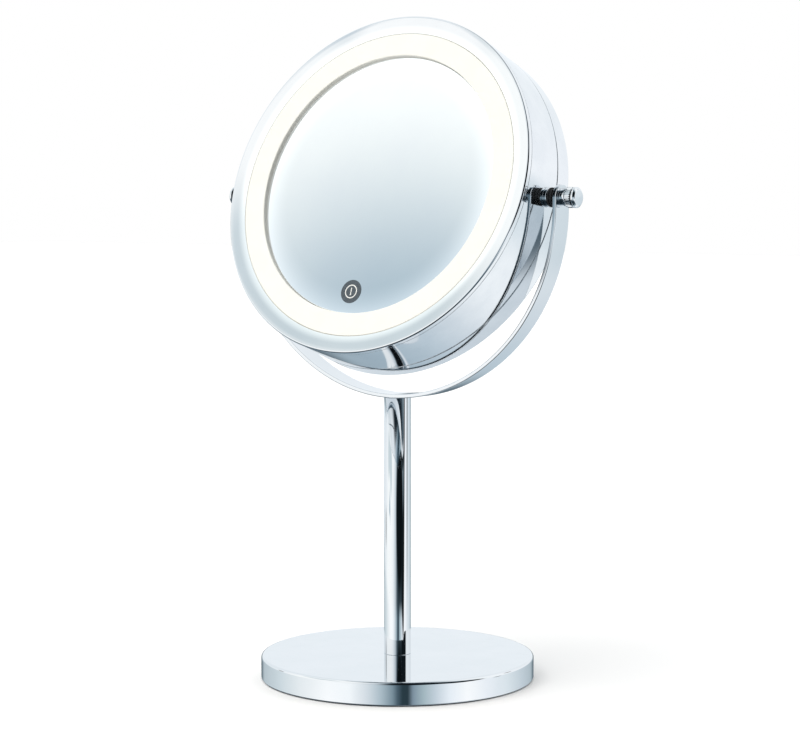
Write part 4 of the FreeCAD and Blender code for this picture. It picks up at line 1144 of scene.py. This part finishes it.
# How the room dims from the wall (height 0) to straight overhead (height 1).
CEILING = ((0.0, "#ffffff"), (0.9, "#ffffff"), (0.965, "#a9b1b6"), (1.0, "#6d767c"))
FLAGS = (
    Flag(-67, 41, 4.5, 9.5, "#ccd6da"),
    Flag(-79, 44, 4.5, 9.5, "#c8d3d7"),
    Flag(-91, 40, 4.5, 9.5, "#ced8db"),
    Flag(-74.5, 27, 2.0, 8.5, "#a9bac5"),
    Flag(-75, 17, 8.5, 10.5, "#fdfdfc"),
    Flag(18, 34, 20, 31, "#0c1114"),
    Flag(55, 13, 17, 25, "#12181c"),
    Flag(-30, -42, 18, 30, "#1c262c"),
    Flag(20, -50, 18, 30, "#1c262c"),
    Flag(112, 24, 2.5, 6, "#0e1214"),
    Flag(-115, 13, 2.5, 5.5, "#0e1214"),
    Flag(91, -6, 3, 6, "#2d3c44"),
)


@dataclass
class Studio:
    """A pale table in a bright room, its lamps and the camera.

    Each lamp has its name, azimuth and elevation, apparent width and strength. Angles are in
    degrees, the lens and sensor in millimetres and lengths in metres.
    """

    yaw: float = 34.97
    rise: float = 4.83
    distance: float = 1.1
    lens: float = 101.502
    sensor: float = 36.0
    aim_side: float = 0.00125
    aim_height: float = 0.14887
    table_reach: float = 6.0
    room_strength: float = 1.2
    lamps: tuple[tuple[str, float, float, float, float], ...] = (
        ("key", -60, 66, 45, 1.3), ("fill", 70, 66, 60, 0.7))

    def direction(self, azimuth: float, elevation: float) -> Vector:
        """Returns: the unit vector from the object towards a place at that azimuth and elevation."""
        a, e = math.radians(azimuth), math.radians(elevation)
        return Vector((math.sin(a) * math.cos(e), -math.cos(a) * math.cos(e), math.sin(e)))

    def build(self) -> None:
        """Lay the floor, paint the room, add the lamps and set up the camera."""
        self.build_floor()
        self.build_world()
        self.build_lamps()
        self.build_camera()

    def build_floor(self) -> None:
        """Lay a plain pale table top."""
        material = bpy.data.materials.new("pale table")
        material.use_nodes = True
        shader = material.node_tree.nodes["Principled BSDF"]
        shader.inputs["Base Color"].default_value = linear("#f8f5f2")
        shader.inputs["Roughness"].default_value = 0.6
        reach = self.table_reach
        mesh = bpy.data.meshes.new("floor")
        corners = [(-reach, -reach, 0), (reach, -reach, 0), (reach, reach, 0), (-reach, reach, 0)]
        mesh.from_pydata(corners, [], [(0, 1, 2, 3)])
        mesh.materials.append(material)
        floor = bpy.data.objects.new("floor", mesh)
        floor.visible_glossy = False
        bpy.context.scene.collection.objects.link(floor)

    def build_world(self) -> None:
        """Paint the room that the chrome mirrors, and keep it plain white behind the object."""
        world = bpy.data.worlds.new("bright room")
        bpy.context.scene.world = world
        world.use_nodes = True
        tree = world.node_tree
        tree.nodes.clear()
        room = self.room_colour(tree)
        mirrored = add(tree, "ShaderNodeBackground", {"Color": room, "Strength": self.room_strength})
        plain = add(tree, "ShaderNodeBackground", {"Color": linear("#ffffff"), "Strength": 1.0})
        seen = add(tree, "ShaderNodeLightPath").outputs["Is Camera Ray"]
        both = add(tree, "ShaderNodeMixShader", {0: seen, 1: mirrored.outputs[0], 2: plain.outputs[0]})
        add(tree, "ShaderNodeOutputWorld", {"Surface": both.outputs[0]})

    def room_colour(self, tree: Tree) -> bpy.types.NodeSocket:
        """Lay the three rings, the ceiling's fall-off and the flags over one another.

        Args:
            tree: the world's tree.

        Returns:
            The output that holds the room's colour in each direction.
        """
        way = add(tree, "ShaderNodeTexCoord").outputs["Generated"]
        turned = add(tree, "ShaderNodeVectorRotate", {"Vector": way, "Angle": -math.radians(self.yaw)},
                     rotation_type="Z_AXIS").outputs[0]
        parts = add(tree, "ShaderNodeSeparateXYZ", {0: turned}).outputs
        ahead = add(tree, "ShaderNodeMath", {0: parts["Y"], 1: -1.0}, operation="MULTIPLY").outputs[0]
        azimuth = add(tree, "ShaderNodeMath", {0: parts["X"], 1: ahead}, operation="ARCTAN2").outputs[0]
        share = add(tree, "ShaderNodeMath", {0: azimuth, 1: 1 / math.tau, 2: 0.5},
                    operation="MULTIPLY_ADD")
        rings = []
        for ring in (FLOOR_RING, LOW_WALL, HIGH_WALL):
            stops = [(angle / 360 + 0.5, colour) for angle, colour in ring]
            ramp = add(tree, "ShaderNodeValToRGB", {"Fac": share.outputs[0]}, stops=stops)
            rings.append(ramp.outputs[0])
        colour = rings[0]
        for upper, start, end in ((rings[1], -0.5, -0.25), (rings[2], -0.03, 0.1)):
            rise = add(tree, "ShaderNodeMapRange", {
                "Value": parts["Z"], "From Min": start, "From Max": end},
                interpolation_type="SMOOTHSTEP").outputs["Result"]
            colour = add(tree, "ShaderNodeMix", {"Factor": rise, 6: colour, 7: upper},
                         data_type="RGBA").outputs[2]
        dim = add(tree, "ShaderNodeValToRGB", {"Fac": parts["Z"]}, stops=CEILING).outputs[0]
        colour = add(tree, "ShaderNodeMix", {"Factor": 1.0, 6: colour, 7: dim}, data_type="RGBA",
                     blend_type="MULTIPLY").outputs[2]
        for flag in FLAGS:
            middle = self.direction(self.yaw + flag.azimuth, flag.elevation)
            far = add(tree, "ShaderNodeVectorMath", {0: way, 1: middle}, operation="DISTANCE")
            cover = add(tree, "ShaderNodeMapRange", {
                "Value": far.outputs["Value"], "From Min": math.radians(flag.outer),
                "From Max": math.radians(flag.inner)}, interpolation_type="SMOOTHSTEP")
            colour = add(tree, "ShaderNodeMix", {"Factor": cover.outputs["Result"], 6: colour,
                                                 7: linear(flag.colour)}, data_type="RGBA").outputs[2]
        return colour

    def build_lamps(self) -> None:
        """Add one broad soft lamp above left and a weaker one on the right, for the table's shadow."""
        for name, azimuth, elevation, angle, power in self.lamps:
            light = bpy.data.lights.new(name, "SUN")
            light.angle, light.energy = math.radians(angle), power
            lamp = bpy.data.objects.new(name, light)
            back = self.direction(self.yaw + azimuth, elevation)
            lamp.rotation_mode = "QUATERNION"
            lamp.rotation_quaternion = back.to_track_quat("Z", "Y")
            lamp.visible_glossy = False
            bpy.context.scene.collection.objects.link(lamp)

    def build_camera(self) -> None:
        """Set up the camera on a long lens, a little above the table."""
        camera = bpy.data.cameras.new("camera")
        camera.sensor_width, camera.lens = self.sensor, self.lens
        camera.clip_start, camera.clip_end = 0.01, 50.0
        back = self.direction(self.yaw, self.rise)
        a = math.radians(self.yaw)
        right = Vector((math.cos(a), math.sin(a), 0))
        seat = bpy.data.objects.new("camera", camera)
        seat.location = right * self.aim_side + Z_AXIS * self.aim_height + back * self.distance
        seat.rotation_mode = "QUATERNION"
        seat.rotation_quaternion = back.to_track_quat("Z", "Y")
        bpy.context.scene.collection.objects.link(seat)
        bpy.context.scene.camera = seat
        bpy.context.scene.view_settings.view_transform = "Standard"


def main() -> None:
    """Build every sub-assembly in order, then the studio."""
    logging.basicConfig(level=logging.INFO, format="%(name)s: %(message)s")
    materials = {slot: finish.make() for slot, finish in finishes().items()}
    shop = Workshop(materials)
    Pedestal(shop).build()
    YokeStrip(shop).build()
    YokeScrew(shop).build()
    for side in TILT:
        Pivot(shop, side).build()
    Head(shop).build()
    dress_nodes(materials)
    Studio().build()


if __name__ == "__main__":
    main()
